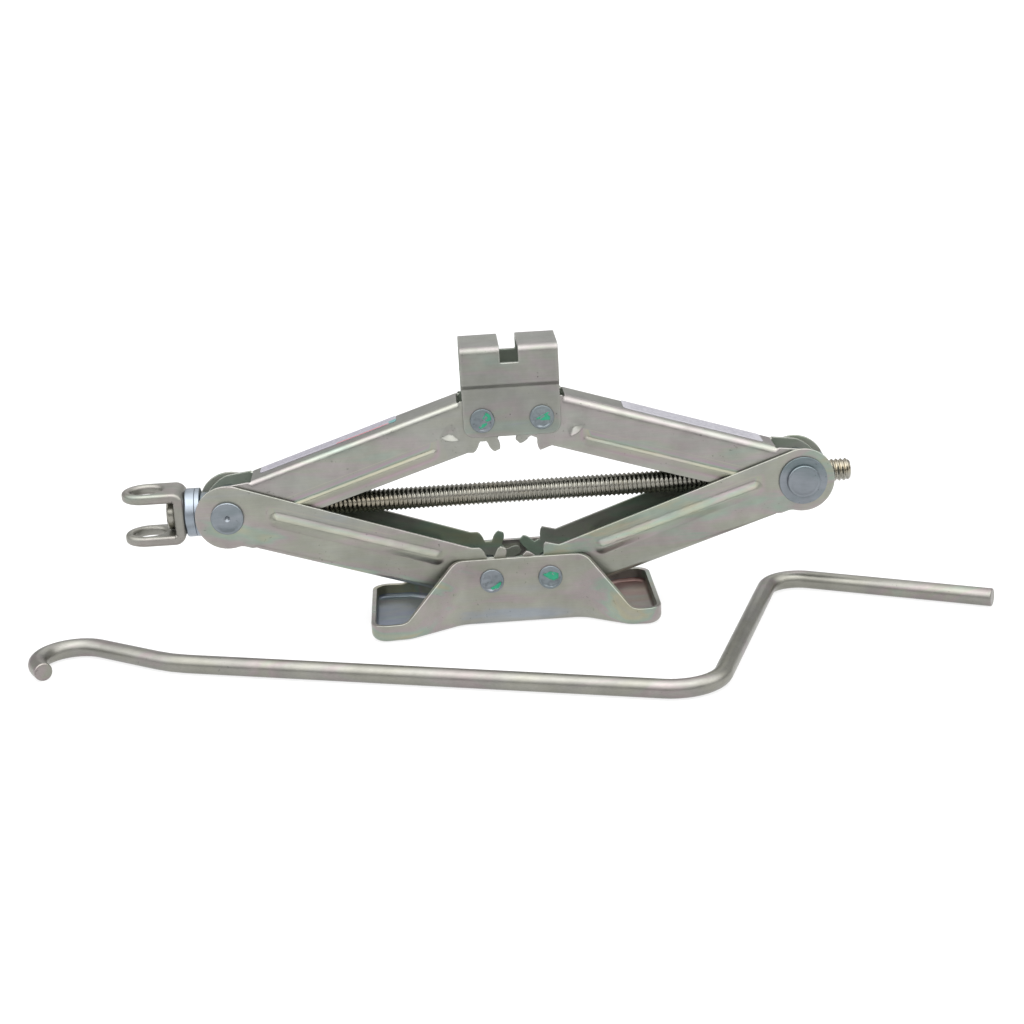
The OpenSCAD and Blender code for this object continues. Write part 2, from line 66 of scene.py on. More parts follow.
# Holes in the arms, and the gap and washer under a trunnion's head:
PIN_HOLE_R, RIVET_HOLE_R, GAP, WASHER_T = 7.05, 4.6, 0.2, 1.5
# Outer faces of the ears, where the rivet heads sit:
BASE_FACE, SADDLE_FACE = 18.8, 16.1
# The screw, and what is stacked on it outward from the side pivot: trunnion, two races and balls, yoke:
SCREW_R, REACH, RACE_T, BALL_GAP, RACE_R, YOKE_T = 6.35, 15.6, 2.6, 3.0, 13.5, 5.6
STACK = REACH + 2 * RACE_T + BALL_GAP


# ---------------- outlines

def polar(r, angle, centre=(0, 0)):
    a = radians(angle)
    return (centre[0] + r * cos(a), centre[1] + r * sin(a))


def arc(r, a0, a1, centre=(0, 0), step=6.0):
    n = max(1, int(ceil(abs(a1 - a0) / step)))
    return [polar(r, a0 + (a1 - a0) * i / n, centre) for i in range(n + 1)]


def corner_arc(a, b, c, r, step=9.0):
    """Points of the arc that rounds corner b between a and c."""
    a, b, c = (np.array(p, float) for p in (a, b, c))
    u, v = (a - b) / np.linalg.norm(a - b), (c - b) / np.linalg.norm(c - b)
    half = acos(max(-1.0, min(1.0, float(u @ v)))) / 2
    centre = b + (u + v) / np.linalg.norm(u + v) * r / sin(half)
    p, q = b + u * r / tan(half) - centre, b + v * r / tan(half) - centre
    start = atan2(p[1], p[0])
    turn = atan2(p[0] * q[1] - p[1] * q[0], p @ q)
    n = max(2, int(ceil(abs(degrees(turn)) / step)))
    return [tuple(centre + r * np.array([cos(start + turn * i / n), sin(start + turn * i / n)]))
            for i in range(n + 1)]


def rounded(corners, closed=True):
    """A line through [x, y, radius] corners, with those corners rounded."""
    out, n = [], len(corners)
    for i, b in enumerate(corners):
        end = not closed and i in (0, n - 1)
        if b[2] == 0 or end:
            out.append((b[0], b[1]))
        else:
            out += corner_arc(corners[i - 1][:2], b[:2], corners[(i + 1) % n][:2], b[2])
    return out


def symmetric(corners):
    """[y, z, radius] corners of one side, led in by their mirror image."""
    return [[-y, z, r] for y, z, r in reversed(corners)] + corners


def resample(loop, step):
    """The same closed loop with no segment longer than step."""
    out = []
    for i, a in enumerate(loop):
        b = loop[(i + 1) % len(loop)]
        length = dist(a, b)
        if length < 1e-6:
            continue
        n = max(1, int(ceil(length / step)))
        out += [(a[0] + (b[0] - a[0]) * k / n, a[1] + (b[1] - a[1]) * k / n) for k in range(n)]
    return np.array(out, float)


def turned(loop, counterclockwise):
    x, y = loop.T
    area = float(np.sum(x * np.roll(y, -1) - np.roll(x, -1) * y))
    return loop if (area > 0) == counterclockwise else loop[::-1].copy()


def inset(loop, d):
    """The loop moved to its left by d."""
    before, after = loop - np.roll(loop, 1, 0), np.roll(loop, -1, 0) - loop
    before /= np.linalg.norm(before, axis=1)[:, None]
    after /= np.linalg.norm(after, axis=1)[:, None]
    n1 = np.stack([-before[:, 1], before[:, 0]], 1)
    n2 = np.stack([-after[:, 1], after[:, 0]], 1)
    return loop + d * (n1 + n2) / np.maximum(1 + np.sum(n1 * n2, 1), 0.45)[:, None]


def inside(points, loops):
    x, y = points[:, 0], points[:, 1]
    odd = np.zeros(len(points), bool)
    for loop in loops:
        for (x0, y0), (x1, y1) in zip(loop, np.roll(loop, -1, 0)):
            if y0 != y1:
                odd ^= ((y0 > y) != (y1 > y)) & (x < (x1 - x0) * (y - y0) / (y1 - y0) + x0)
    return odd


def grid_lines(lo, hi, coarse, zones=()):
    """Positions from lo to hi, coarse apart, and closer inside (from, to, fine) zones."""
    out, at = [], lo
    while at < hi:
        out.append(at)
        fine = min([f for a, b, f in zones if a - coarse <= at < b] + [coarse])
        at += fine
    return np.array(out + [hi], float)


def mesh_fill(loops, us, vs, gap):
    """Triangles over the area inside loops[0] and outside the others, with grid points inside it."""
    grid = np.stack(np.meshgrid(us, vs, indexing="ij"), -1).reshape(-1, 2)
    grid = grid[inside(grid, loops)]
    edge = np.concatenate(loops)
    tree = kdtree.KDTree(len(edge))
    for i, p in enumerate(edge):
        tree.insert((p[0], p[1], 0), i)
    tree.balance()
    grid = np.array([p for p in grid if tree.find((p[0], p[1], 0))[2] > gap]).reshape(-1, 2)
    points = np.concatenate([edge, grid])
    edges, start = [], 0
    for loop in loops:
        edges += [(start + i, start + (i + 1) % len(loop)) for i in range(len(loop))]
        start += len(loop)
    made = delaunay_2d_cdt([Vector(p) for p in points], edges, [], 1, 1e-7)
    source = [ids[0] for ids in made[3]]
    faces = np.array([[source[i] for i in f] for f in made[2]], int)
    keep = inside(points[faces].mean(1), loops)
    return points, faces[keep]


# ---------------- pieces

def add_object(name, data):
    made = bpy.data.objects.new(name, data)
    bpy.context.scene.collection.objects.link(made)
    return made


def place_piece(name, shape, body, material, nodes=(), marks=None, weighted=True):
    """A smooth mesh from (points, faces) in millimetres, riding on a body.

    marks holds lists with one value for each point, by the name that the material reads them by.
    """
    points, faces = shape
    mesh = bpy.data.meshes.new(name)
    mesh.from_pydata((np.asarray(points, float) * MM).tolist(), [], [list(map(int, f)) for f in faces])
    mesh.validate()
    mesh.shade_smooth()
    for label, values in (marks or {}).items():
        layer = mesh.attributes.new(label, "FLOAT", "POINT")
        layer.data.foreach_set("value", np.asarray(values, np.float32))
    mesh.materials.append(material)
    piece = add_object(name, mesh)
    if weighted:
        modifier = piece.modifiers.new("normals", "WEIGHTED_NORMAL")
        modifier.mode = "FACE_AREA"
        modifier.weight = 100
    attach(piece, body)
    if nodes:
        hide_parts(*nodes)
    return piece


def sheet(loops, base, thickness, edge_r, us, vs, outward=1, seg=1.2, steps=4):
    """Closed solid of sheet metal with rounded cut edges.

    loops are the flat outline and its holes, base maps flat points to the outer surface,
    and outward is 1 where d(base)/du x d(base)/dv points out of the sheet, or else -1.
    Returns (points, faces), each point's place in the flat, and two marks: "wear" says how
    near a point is to a cut edge, and "inner" whether it is on the inner surface.
    """
    loops = [turned(resample(p, seg), i == 0) for i, p in enumerate(loops)]
    probe, rim_wear = 0.03, 0.55

    def surface(uv, depth):
        du = base(uv + [probe, 0]) - base(uv - [probe, 0])
        dv = base(uv + [0, probe]) - base(uv - [0, probe])
        n = np.cross(du, dv)
        n *= outward / np.linalg.norm(n, axis=1)[:, None]
        return base(uv) - n * depth

    quarter = [pi / 2 * k / steps for k in range(steps + 1)]
    top = [(edge_r * (1 - cos(q)), edge_r * (1 - sin(q))) for q in quarter]
    profile = top + [(thickness - d, s) for d, s in reversed(top)]
    flat, tris = mesh_fill([inset(p, edge_r) for p in loops], us, vs, gap=seg * 0.5)
    count = len(flat)
    near = np.zeros(count)
    near[: sum(len(p) for p in loops)] = rim_wear
    verts, where = [surface(flat, 0), surface(flat, thickness)], [flat, flat]
    wear, within = [near, near], [np.zeros(count), np.ones(count)]
    faces = [tris if outward > 0 else tris[:, ::-1], (tris[:, ::-1] if outward > 0 else tris) + count]
    start, total = 0, 2 * count
    for loop in loops:
        n = len(loop)
        rings = [np.arange(n) + start]
        for depth, side in profile[1:-1]:
            line = inset(loop, side)
            verts.append(surface(line, depth))
            where.append(line)
            wear.append(np.ones(n))
            within.append(np.full(n, min(1.0, max(0.0, 2 * depth / thickness - 1))))
            rings.append(np.arange(n) + total)
            total += n
        rings.append(np.arange(n) + start + count)
        for a, b in zip(rings, rings[1:]):
            quad = np.stack([a, b, np.roll(b, -1), np.roll(a, -1)], 1)
            faces.append(quad if outward > 0 else quad[:, ::-1])
        start += n
    shape = np.concatenate(verts), [f for group in faces for f in group.tolist()]
    marks = {"wear": np.concatenate(wear), "inner": np.concatenate(within)}
    return shape, np.concatenate(where), marks


def skin(rings, closed=False):
    """Faces between rings of point numbers, where a pole is one number repeated."""
    faces = []
    pairs = list(zip(rings, rings[1:])) + ([(rings[-1], rings[0])] if closed else [])
    for a, b in pairs:
        for i in range(len(a)):
            j = (i + 1) % len(a)
            face = list(dict.fromkeys((a[i], a[j], b[j], b[i])))
            if len(face) > 2:
                faces.append(face)
    return faces


def lathe(profile, segments=96, closed=False):
    """A shape turned about Z from (r, z) pairs, with poles where r is 0."""
    points, rings = [], []
    for r, z in profile:
        if r < 1e-9:
            rings.append([len(points)] * segments)
            points.append((0, 0, z))
        else:
            rings.append(list(range(len(points), len(points) + segments)))
            angles = [2 * pi * i / segments for i in range(segments)]
            points += [(r * cos(a), r * sin(a), z) for a in angles]
    return np.array(points, float), skin(rings, closed)


def round_over(r, z, across, along, angles):
    """Profile points that round an outer edge, from (r, z) inward by across and onward by along."""
    return [(r - across * (1 - cos(q)), z + along * sin(q)) for q in np.radians(angles)]


def ring(r_in, r_out, z0, z1, edge=0.35):
    """A ring about Z with rounded edges."""
    profile = []
    for r, z, a0 in ((r_out - edge, z0 + edge, -90), (r_out - edge, z1 - edge, 0),
                     (r_in + edge, z1 - edge, 90), (r_in + edge, z0 + edge, 180)):
        profile += arc(edge, a0, a0 + 90, (r, z), step=30)
    return lathe(profile, closed=True)


def moved(shape, matrix):
    points, faces = shape
    m = np.array(matrix, float)
    return points @ m[:3, :3].T + m[:3, 3], faces


def joined(*shapes):
    verts, faces, start = [], [], 0
    for v, f in shapes:
        verts.append(v)
        faces += [[i + start for i in face] for face in f]
        start += len(v)
    return np.concatenate(verts), faces


# Turns the lathe's axis Z to another one: +X, -X, +Y or -Y
AXIS = {
    "+X": Matrix.Rotation(pi / 2, 4, "Y"),
    "-X": Matrix.Rotation(-pi / 2, 4, "Y"),
    "+Y": Matrix.Rotation(-pi / 2, 4, "X"),
    "-Y": Matrix.Rotation(pi / 2, 4, "X"),
}


def at(x, y, z, axis):
    return Matrix.Translation((x, y, z)) @ AXIS[axis]


# ---------------- materials

class Graph:
    """Short calls for building the nodes of a new material, or of the world."""

    def __init__(self, owner):
        owner.use_nodes = True
        self.owner, self.tree = owner, owner.node_tree
        self.tree.nodes.clear()

    def add(self, kind, inputs=None, **props):
        node = self.tree.nodes.new(kind)
        for key, value in props.items():
            setattr(node, key, value)
        for key, value in (inputs or {}).items():
            if isinstance(value, bpy.types.NodeSocket):
                self.tree.links.new(value, node.inputs[key])
            else:
                node.inputs[key].default_value = value
        return node

    def ramp(self, fac, stops, interpolation="LINEAR"):
        node = self.add("ShaderNodeValToRGB", {"Fac": fac})
        node.color_ramp.interpolation = interpolation
        while len(node.color_ramp.elements) < len(stops):
            node.color_ramp.elements.new(0.5)
        for element, (position, colour) in zip(node.color_ramp.elements, stops):
            element.position = position
            grey = isinstance(colour, (int, float))
            element.color = (colour, colour, colour, 1) if grey else (*colour, 1)
        return node.outputs["Color"]

    def noise(self, vector, scale, detail=3.0, rough=0.5, distortion=0.0):
        return self.add("ShaderNodeTexNoise", {"Vector": vector, "Scale": scale, "Detail": detail,
                                               "Roughness": rough, "Distortion": distortion}).outputs["Fac"]

    def mix(self, fac, a, b, blend="MIX"):
        node = self.add("ShaderNodeMix", data_type="RGBA", blend_type=blend)
        for key, value in ((0, fac), (6, a), (7, b)):
            if isinstance(value, bpy.types.NodeSocket):
                self.tree.links.new(value, node.inputs[key])
            else:
                node.inputs[key].default_value = value if key == 0 else (*value, 1)
        return node.outputs[2]

    def shaded(self, colour, shade):
        return self.mix(1.0, colour, shade, "MULTIPLY")

    def mapped(self, vector, scale=(1, 1, 1), turn=(0, 0, 0), shift=(0, 0, 0)):
        return self.add("ShaderNodeMapping", {"Vector": vector, "Scale": scale, "Location": shift,
                                              "Rotation": [radians(a) for a in turn]}).outputs["Vector"]

    def math(self, operation, a, b=0.0):
        return self.add("ShaderNodeMath", {0: a, 1: b}, operation=operation).outputs[0]

    def attribute(self, label):
        return self.add("ShaderNodeAttribute", attribute_name=label).outputs["Fac"]

    def bump(self, height, strength, distance, normal=None):
        inputs = {"Strength": strength, "Distance": distance, "Height": height}
        if normal is not None:
            inputs["Normal"] = normal
        return self.add("ShaderNodeBump", inputs).outputs["Normal"]

    def times(self, a, b):
        return self.math("MULTIPLY", a, b)

    def finish(self, inputs, shader="ShaderNodeBsdfPrincipled", output="ShaderNodeOutputMaterial"):
        made = self.add(shader, inputs)
        self.tree.links.new(made.outputs[0], self.add(output).inputs["Surface"])
        return self.owner


def metal(name, base, tints, tint_share=0.5, turn=0.0, seed=0.0, rough=(0.27, 0.42), bump=0.12,
          wavy=0.25, edge=(0.46, 0.46, 0.43), edge_share=0.25, specks=0.35, streaks=0.035,
          film_share=0.0, film_colours=None):
    """Plated steel: patches of thin-film tint, rolling streaks, grain, specks, bright cut edges, and painted
    shade that darkens inner surfaces.
    """
    g = Graph(bpy.data.materials.new(name))
    place = g.add("ShaderNodeTexCoord").outputs["Object"]
    place = g.mapped(place, shift=(seed, seed * 0.7, seed * 1.3))
    lengthwise = g.mapped(place, scale=(0.25, 1, 1), turn=(0, turn, 0))
    wear, film, inner = (g.attribute(label) for label in ("wear", "film", "inner"))

    # Tint in long patches, with soft clouds and fine streaks along the rolling direction
    colour = g.mix(tint_share, base, g.ramp(g.noise(lengthwise, 34, 4, 0.55, 0.6), tints))
    colour = g.shaded(colour, g.ramp(g.noise(place, 55, 4, 0.6), [(0.3, 0.86), (0.7, 1.08)]))
    rolled = g.noise(g.mapped(place, scale=(0.03, 1, 1), turn=(0, turn, 0)), 1900, 2, 0.5)
    colour = g.shaded(colour, g.ramp(rolled, [(0.3, 1 - streaks), (0.7, 1 + streaks * 0.5)]))

    # Dark specks, only here and there
    dots = g.ramp(g.noise(place, 620, 1, 0.4), [(0.70, 1.0), (0.76, 1 - specks)])
    rare = g.ramp(g.noise(place, 70, 1, 0.5), [(0.52, 0.0), (0.62, 1.0)])
    colour = g.mix(rare, colour, g.shaded(colour, dots))

    # Film colours that follow the shape, where the film mark is above 0
    shown = g.times(g.math("GREATER_THAN", film, 0.0005), film_share)
    shown = g.times(shown, g.ramp(g.noise(lengthwise, 60, 2), [(0.35, 0.25), (0.6, 1.0)]))
    sway = g.times(g.math("SUBTRACT", g.noise(lengthwise, 40, 2), 0.5), 0.16)
    colour = g.mix(shown, colour, g.ramp(g.math("ADD", film, sway), film_colours or RAINBOW))

    # Brighter cut edges, and painted shade on inner surfaces, which are made darker and greener there, and
    # also rougher and less metallic
    ragged = g.times(wear, g.ramp(g.noise(place, 300, 3), [(0.3, 0.5), (0.6, 1.0)]))
    colour = g.mix(g.times(ragged, edge_share), colour, edge)
    colour = g.mix(inner, colour, g.shaded(colour, (0.62, 0.70, 0.63)))
    roughness = g.ramp(g.noise(place, 130, 4, 0.6), [(0.25, rough[0]), (0.75, rough[1])])
    roughness = g.math("ADD", roughness, g.times(inner, 0.15))
    metallic = g.math("SUBTRACT", 1.0, g.times(inner, 0.55))

    # Shallow dents, and a fine grain on top of them
    normal = g.bump(g.noise(lengthwise, 75, 3, 0.5), wavy, 0.0012)
    normal = g.bump(g.noise(place, 2600, 2, 0.6), bump, 0.00012, normal)
    return g.finish({"Base Color": colour, "Metallic": metallic, "Roughness": roughness, "Normal": normal})


OLIVE, PINK, GREEN, GOLD, BLUE, GREY = (
    (0.300, 0.305, 0.255), (0.335, 0.275, 0.290), (0.245, 0.330, 0.275), (0.345, 0.325, 0.215),
    (0.255, 0.290, 0.340), (0.295, 0.298, 0.275))
CHROMATE = [(0.30, BLUE), (0.38, GREY), (0.46, OLIVE), (0.53, PINK), (0.58, GREEN), (0.64, GOLD),
            (0.72, GREY)]
QUIET = [(0.30, GREY), (0.42, OLIVE), (0.50, GREY), (0.56, PINK), (0.60, OLIVE), (0.66, GREEN),
         (0.72, BLUE)]
BLUISH = [(0.34, (0.14, 0.18, 0.19)), (0.46, (0.25, 0.27, 0.30)), (0.56, (0.17, 0.20, 0.215)),
          (0.68, (0.24, 0.27, 0.27))]
BARE = [(0.35, (0.26, 0.26, 0.22)), (0.55, (0.31, 0.30, 0.26)), (0.68, (0.35, 0.29, 0.18))]
RAINBOW = [(0.08, (0.30, 0.30, 0.26)), (0.22, (0.37, 0.27, 0.31)), (0.36, (0.36, 0.35, 0.29)),
           (0.50, (0.36, 0.37, 0.28)), (0.62, (0.38, 0.37, 0.25)), (0.72, (0.26, 0.35, 0.28)),
           (0.82, (0.34, 0.25, 0.31)), (0.94, (0.29, 0.29, 0.26))]
TRAY = [(0.10, (0.21, 0.24, 0.35)), (0.35, (0.25, 0.27, 0.34)), (0.50, (0.26, 0.26, 0.23)),
        (0.65, (0.32, 0.24, 0.19)), (0.90, (0.31, 0.19, 0.18))]

lower_metal = {side: metal(f"zinc_lower_{side}", (0.305, 0.313, 0.277), CHROMATE, 0.6, turn * LIFT, seed,
                           film_share=0.3)
               for side, turn, seed in (("left", 1, 0.13), ("right", -1, 0.71))}
upper_metal = {side: metal(f"zinc_upper_{side}", (0.30, 0.302, 0.28), QUIET, 0.45, turn * LIFT, seed,
                           film_share=0.75)
               for side, turn, seed in (("left", -1, 0.37), ("right", 1, 0.93))}
saddle_metal = metal("zinc_saddle", (0.235, 0.238, 0.222), QUIET, 0.35, 0, 1.71, rough=(0.36, 0.48),
                     specks=0.6)
base_metal = metal("zinc_base", (0.315, 0.315, 0.285), CHROMATE, 0.65, 0, 2.35, film_share=1.0,
                   film_colours=TRAY)
bluish_metal = metal("zinc_forged", (0.205, 0.23, 0.245), BLUISH, 0.7, 0, 3.1, rough=(0.26, 0.46),
                     bump=0.5, edge=(0.26, 0.29, 0.30))
race_metal = metal("race_steel", (0.29, 0.325, 0.37), BLUISH, 0.25, 0, 4.4, rough=(0.3, 0.4), bump=0.05,
                   wavy=0.05, specks=0.1)
yoke_metal = metal("zinc_yoke", (0.245, 0.24, 0.215), QUIET, 0.35, 0, 5.3, rough=(0.38, 0.5), bump=0.25,
                   wavy=0.4, edge=(0.33, 0.32, 0.29))
screw_metal = metal("screw_steel", (0.30, 0.292, 0.26), BARE, 0.5, 0, 6.2, rough=(0.2, 0.32), bump=0.15,
                    wavy=0.05)
rod_metal = metal("zinc_rod", (0.232, 0.222, 0.203), QUIET, 0.45, 0, 7.7, rough=(0.32, 0.42), streaks=0.06)


def coat(name, colour, variation, rough, bump, grain, printing=None):
    """Paint or film: a mottled colour with a fine surface. printing adds what is printed on a film."""
    g = Graph(bpy.data.materials.new(name))
    place = g.add("ShaderNodeTexCoord").outputs["Object"]
    if printing:
        colour = printing(g, colour)
    shade = g.ramp(g.noise(place, 420, 4, 0.6), [(0.3, 1 - variation), (0.7, 1.0)])
    roughness = g.ramp(g.noise(place, 260, 3), [(0.3, rough - 0.06), (0.7, rough + 0.08)])
    return g.finish({"Base Color": g.shaded(colour, shade), "Roughness": roughness,
                     "Normal": g.bump(g.noise(place, grain, 3, 0.6), bump, 0.0002)})


paint_mark = coat("green_paint", (0.012, 0.26, 0.14), 0.25, 0.42, 0.4, 900)


# ---------------- arms

def bead_rise(bead, x, z):
    """Height of a straight bead with round ends: crest 1 gives it flat sides, and 0 a smooth wave."""
    half = min(bead.above, bead.below) + 0.5
    along = np.abs(x - np.clip(x, bead.x0 + half, bead.x1 - half))
    across = z - bead.z
    across = np.abs(across) / np.where(across > 0, bead.above, bead.below)
    t = np.clip(np.hypot(along / half, across), 0, 1)
    return bead.height * (bead.crest * (1 - t) + (1 - bead.crest) * (0.5 + 0.5 * np.cos(pi * t)))


class Section:
    """A bent line across a sheet, by the length along it from its middle."""

    def __init__(self, corners):
        self.points = np.array(rounded(corners, closed=False), float)
        step = np.linalg.norm(np.diff(self.points, axis=0), axis=1)
        self.s = np.concatenate([[0], np.cumsum(step)])
        self.s -= self.s[-1] / 2

    def __call__(self, s):
        return np.interp(s, self.s, self.points[:, 0]), np.interp(s, self.s, self.points[:, 1])


# Where the arms' flanges end, above the middle line, and where the dimples lie
OPEN_Z, DIMPLE_X, DIMPLE_Z = 14.8, ARM - 19, 1.2

# The toothed sectors: TEETH to a full turn, each narrowing less to its tip than a true involute does
PRESSURE, TEETH = radians(25), 8
PITCH_R, TIP_R, ROOT_R = PIVOT_X, 19.5, 12.6
GEAR_BASE_R = PITCH_R * cos(PRESSURE)
PLAY, NARROWING, ROOT_FLARE = 1.1, 0.72, 3.2


def involute(a):
    """How far an involute has turned where its pressure angle is a, in degrees."""
    return degrees(tan(a) - a)


def tooth_half(r):
    """Half the angle that a tooth fills at radius r, in degrees."""
    past = involute(acos(GEAR_BASE_R / r)) * NARROWING if r > GEAR_BASE_R else 0
    flare = ROOT_FLARE * max(0.0, (GEAR_BASE_R - r) / (GEAR_BASE_R - ROOT_R)) ** 2
    return 90 / TEETH + involute(PRESSURE) - PLAY - past + flare


def gear_line(first, start, end):
    """Toothed edge about the inner pivot, from direction start down to direction end, in degrees.

    A tooth within 6 degrees of the start has no upper flank, as the flange's edge runs into it.
    """
    centre, tip = (ARM, 0), tooth_half(TIP_R)
    root = [(ROOT_R, tooth_half(ROOT_R))]
    flank = [(r, tooth_half(r)) for r in (ROOT_R + (TIP_R - ROOT_R) * k / 5 for k in range(1, 5))]
    flank += [(TIP_R - 0.4, tip + 0.2), (TIP_R, tip - 1.2)]
    out, direction = [], start
    for k in reversed(range(5)):
        angle = first + k * 360 / TEETH
        low, high = angle - root[0][1], angle + root[0][1]
        if low > start or high < end:
            continue
        if high + 6 <= start:
            out += arc(ROOT_R, direction, high, centre, 5)
            out += [polar(r, angle + half, centre) for r, half in flank]
        out += [polar(r, angle - half, centre) for r, half in reversed(root + flank)]
        direction = low
    return out + arc(ROOT_R, direction, end, centre, 5)[1:]


def arm_sizes(upper, right):
    """Sizes of one arm: width, the web's two ends, bend, how softly the bend starts, eye and bead."""
    if upper:
        bead = SimpleNamespace(x0=30.0, x1=ARM - (25.5 if right else 29), z=7.2 if right else 7.9,
                               above=3.4, below=2.1, height=0.85, crest=1.0)
        return SimpleNamespace(half=UPPER_HALF, web=(19.0, ARM - 9.5), bend_r=4.3 if right else 3.2,
                               ease=1.4, eye_r=14.5, flange_end=ARM - 10, bead=bead)
    bead = SimpleNamespace(x0=22.0, x1=ARM - 28.5, z=5.0, above=4.8, below=4.4, height=1.8, crest=0.85)
    return SimpleNamespace(half=LOWER_HALF, web=(20.0, ARM - 17), bend_r=3.0, ease=3.0, eye_r=17.8,
                           flange_end=ARM - 11, bead=bead)


def arm_fold(size, upper):
    """The channel's section. An upper arm's flanges lean in a little just below their bends."""
    tall, lean = 24.0, 0.32
    wall = [[size.half, -WEB_Z, size.bend_r], [size.half, tall, 0]]
    if upper:
        wall = [[size.half - lean, -WEB_Z, size.bend_r], [size.half, size.bend_r + 1.5 - WEB_Z, 1],
                [size.half, tall, 0]]
    return Section(symmetric(wall))


def arm_outline(size, upper, right, flange_s):
    """Flat outline: from the web's end round the eye, the flange, the teeth and back, then mirrored."""
    (x0, x1), eye_r, notch_r = size.web, size.eye_r, 0.6
    edge_s = flange_s - WEB_Z

    def on(points):
        """Points of a flange, in the arm's own axes, laid out in the flat."""
        return [(x, z + flange_s) for x, z in points]

    line = [(x0, 0), (x0, edge_s - notch_r)]
    line += arc(notch_r, 0, 90, (x0 - notch_r, edge_s - notch_r), 30)
    if upper:
        # A raised shoulder beside the side joint
        shoulder = ((17.0, -70), (16.8, -75), (16.4, -81), (15.6, -92), (14.9, -105))
        line += on([(x0 - 1.6, -WEB_Z)] + [polar(*p) for p in shoulder])
        line += on(arc(eye_r, -115, -270, step=5))
    else:
        neck_r = 7.0
        neck_z = WEB_Z + neck_r
        neck_x = sqrt((eye_r + neck_r) ** 2 - neck_z ** 2)
        reach = degrees(atan2(neck_z, -neck_x))
        line += on(arc(neck_r, 90, reach, (neck_x, -neck_z), 8))
        line += on(arc(eye_r, reach - 180, -270, step=5)[1:])
    first = LIFT - (0 if right else 180 / TEETH)
    edge_angle = degrees(atan2(OPEN_Z, size.flange_end - ARM))
    bumped = abs(first + 3 * 360 / TEETH - edge_angle) < tooth_half(ROOT_R)
    line += on([(size.flange_end - (4 if bumped else 0), OPEN_Z)])
    line += on(gear_line(first, edge_angle, degrees(atan2(-WEB_Z, -6)) + 2))
    line += on(corner_arc((ARM - 1.5, -4), (ARM - 5.6, -WEB_Z), (ARM - 40, -WEB_Z), 5))
    line += [(x1 + notch_r, edge_s)]
    line += arc(notch_r, 90, 180, (x1 + notch_r, edge_s - notch_r), 30)[1:]
    line += [(x1, 0)]
    return line[:-1] + [(x, -s) for x, s in reversed(line)][:-1]


def crown(x, s):
    """A web's slight unevenness."""
    return 0.12 * np.sin(x / 31.0 + s * 0.05) + 0.05 * np.sin(x / 11.0)


def dimple_depth(x, z, turn):
    """Depth of a three-cornered dimple with softened corners, turned by an angle in degrees."""
    deep, size, slope = 1.8, 3.9, 3.1
    dx, dz = x - DIMPLE_X, z - DIMPLE_Z
    flat_sided = np.maximum.reduce([dx * cos(a) + dz * sin(a)
                                    for a in np.radians([turn - 30, turn + 90, turn + 210])])
    d = 0.55 * flat_sided + 0.34 * np.hypot(dx, dz)
    return deep * np.clip((size - d) / slope, 0, 1)


def arm_mesh(upper, right):
    """An arm in its own axes: side pivot at 0, middle line on X, web at -Z."""
    thickness, edge_r = 1.8, 0.42
    size = arm_sizes(upper, right)
    fold, bead, half, (x0, x1), ease = arm_fold(size, upper), size.bead, size.half, size.web, size.ease
    flat_half, bent = half - size.bend_r, size.bend_r * pi / 2
    flange_s = flat_half + bent + WEB_Z - size.bend_r
    holes = []
    for side in (1, -1):
        for x, r, step in ((0, PIN_HOLE_R, 7.5), (ARM, RIVET_HOLE_R, 10)):
            holes.append([(x + dx, side * (ds + flange_s)) for dx, ds in arc(r, 0, 360 - step, step=step)])

    def base(uv):
        x, s = uv[:, 0], uv[:, 1]
        y, z = fold(s)
        folded = np.clip(np.minimum((x - x0 + ease) / ease, (x1 + ease - x) / ease), 0, 1)
        folded = folded * folded * (3 - 2 * folded)
        side = np.where(s < 0, -1.0, 1.0)
        y = side * half + (y - side * half) * folded
        flat_z = np.abs(s) - flange_s
        z = flat_z + (z - flat_z) * folded
        rise = bead_rise(bead, x, z)
        if upper:
            rise = rise - dimple_depth(x, z, LIFT + (38 if right else 12))
        y = y + np.where(np.abs(s) > flat_half + bent, side * rise, 0)
        z = z + crown(x, s) * np.clip((flat_half - np.abs(s)) / 3, 0, 1)
        return np.stack([x, y, z], 1)

    xs = grid_lines(-size.eye_r, ARM + TIP_R, 1.5, [
        (bead.x0 - 1, bead.x0 + 4, 0.7), (x0 - ease, x0, 0.8), (bead.x1 - 4, bead.x1 + 1, 0.7),
        (DIMPLE_X - 6.5, DIMPLE_X + 7, 0.5), (x1, x1 + ease, 0.8)])
    zones = []
    for side in (1, -1):
        bend, dimple = side * (flat_half + bent / 2), side * (flange_s + DIMPLE_Z)
        low, high = sorted(side * (flange_s + bead.z) + side * reach for reach in (-bead.below, bead.above))
        zones += [(low - 0.4, high + 0.4, 0.62), (bend - bent / 2 - 0.3, bend + bent / 2 + 0.5, 0.6),
                  (dimple - 5.5, dimple + 5.5, 0.5)]
    reach = flange_s + TIP_R + 1
    outline = arm_outline(size, upper, right, flange_s)
    shape, uv, marks = sheet([outline, *holes], base, thickness, edge_r, xs,
                             grid_lines(-reach, reach, 1.6, zones), outward=-1, seg=1.1)
    across = (np.abs(uv[:, 1]) - flange_s - bead.z) * (-1 if upper else 1)
    fade = np.clip(np.minimum(uv[:, 0] - bead.x0 + 4, bead.x1 + 4 - uv[:, 0]) / 8, 0, 1)
    marks["film"] = np.where(np.abs(across) < 6, np.clip(0.5 + across / 12, 0.001, 0.999), 0) * fade
    return shape, marks


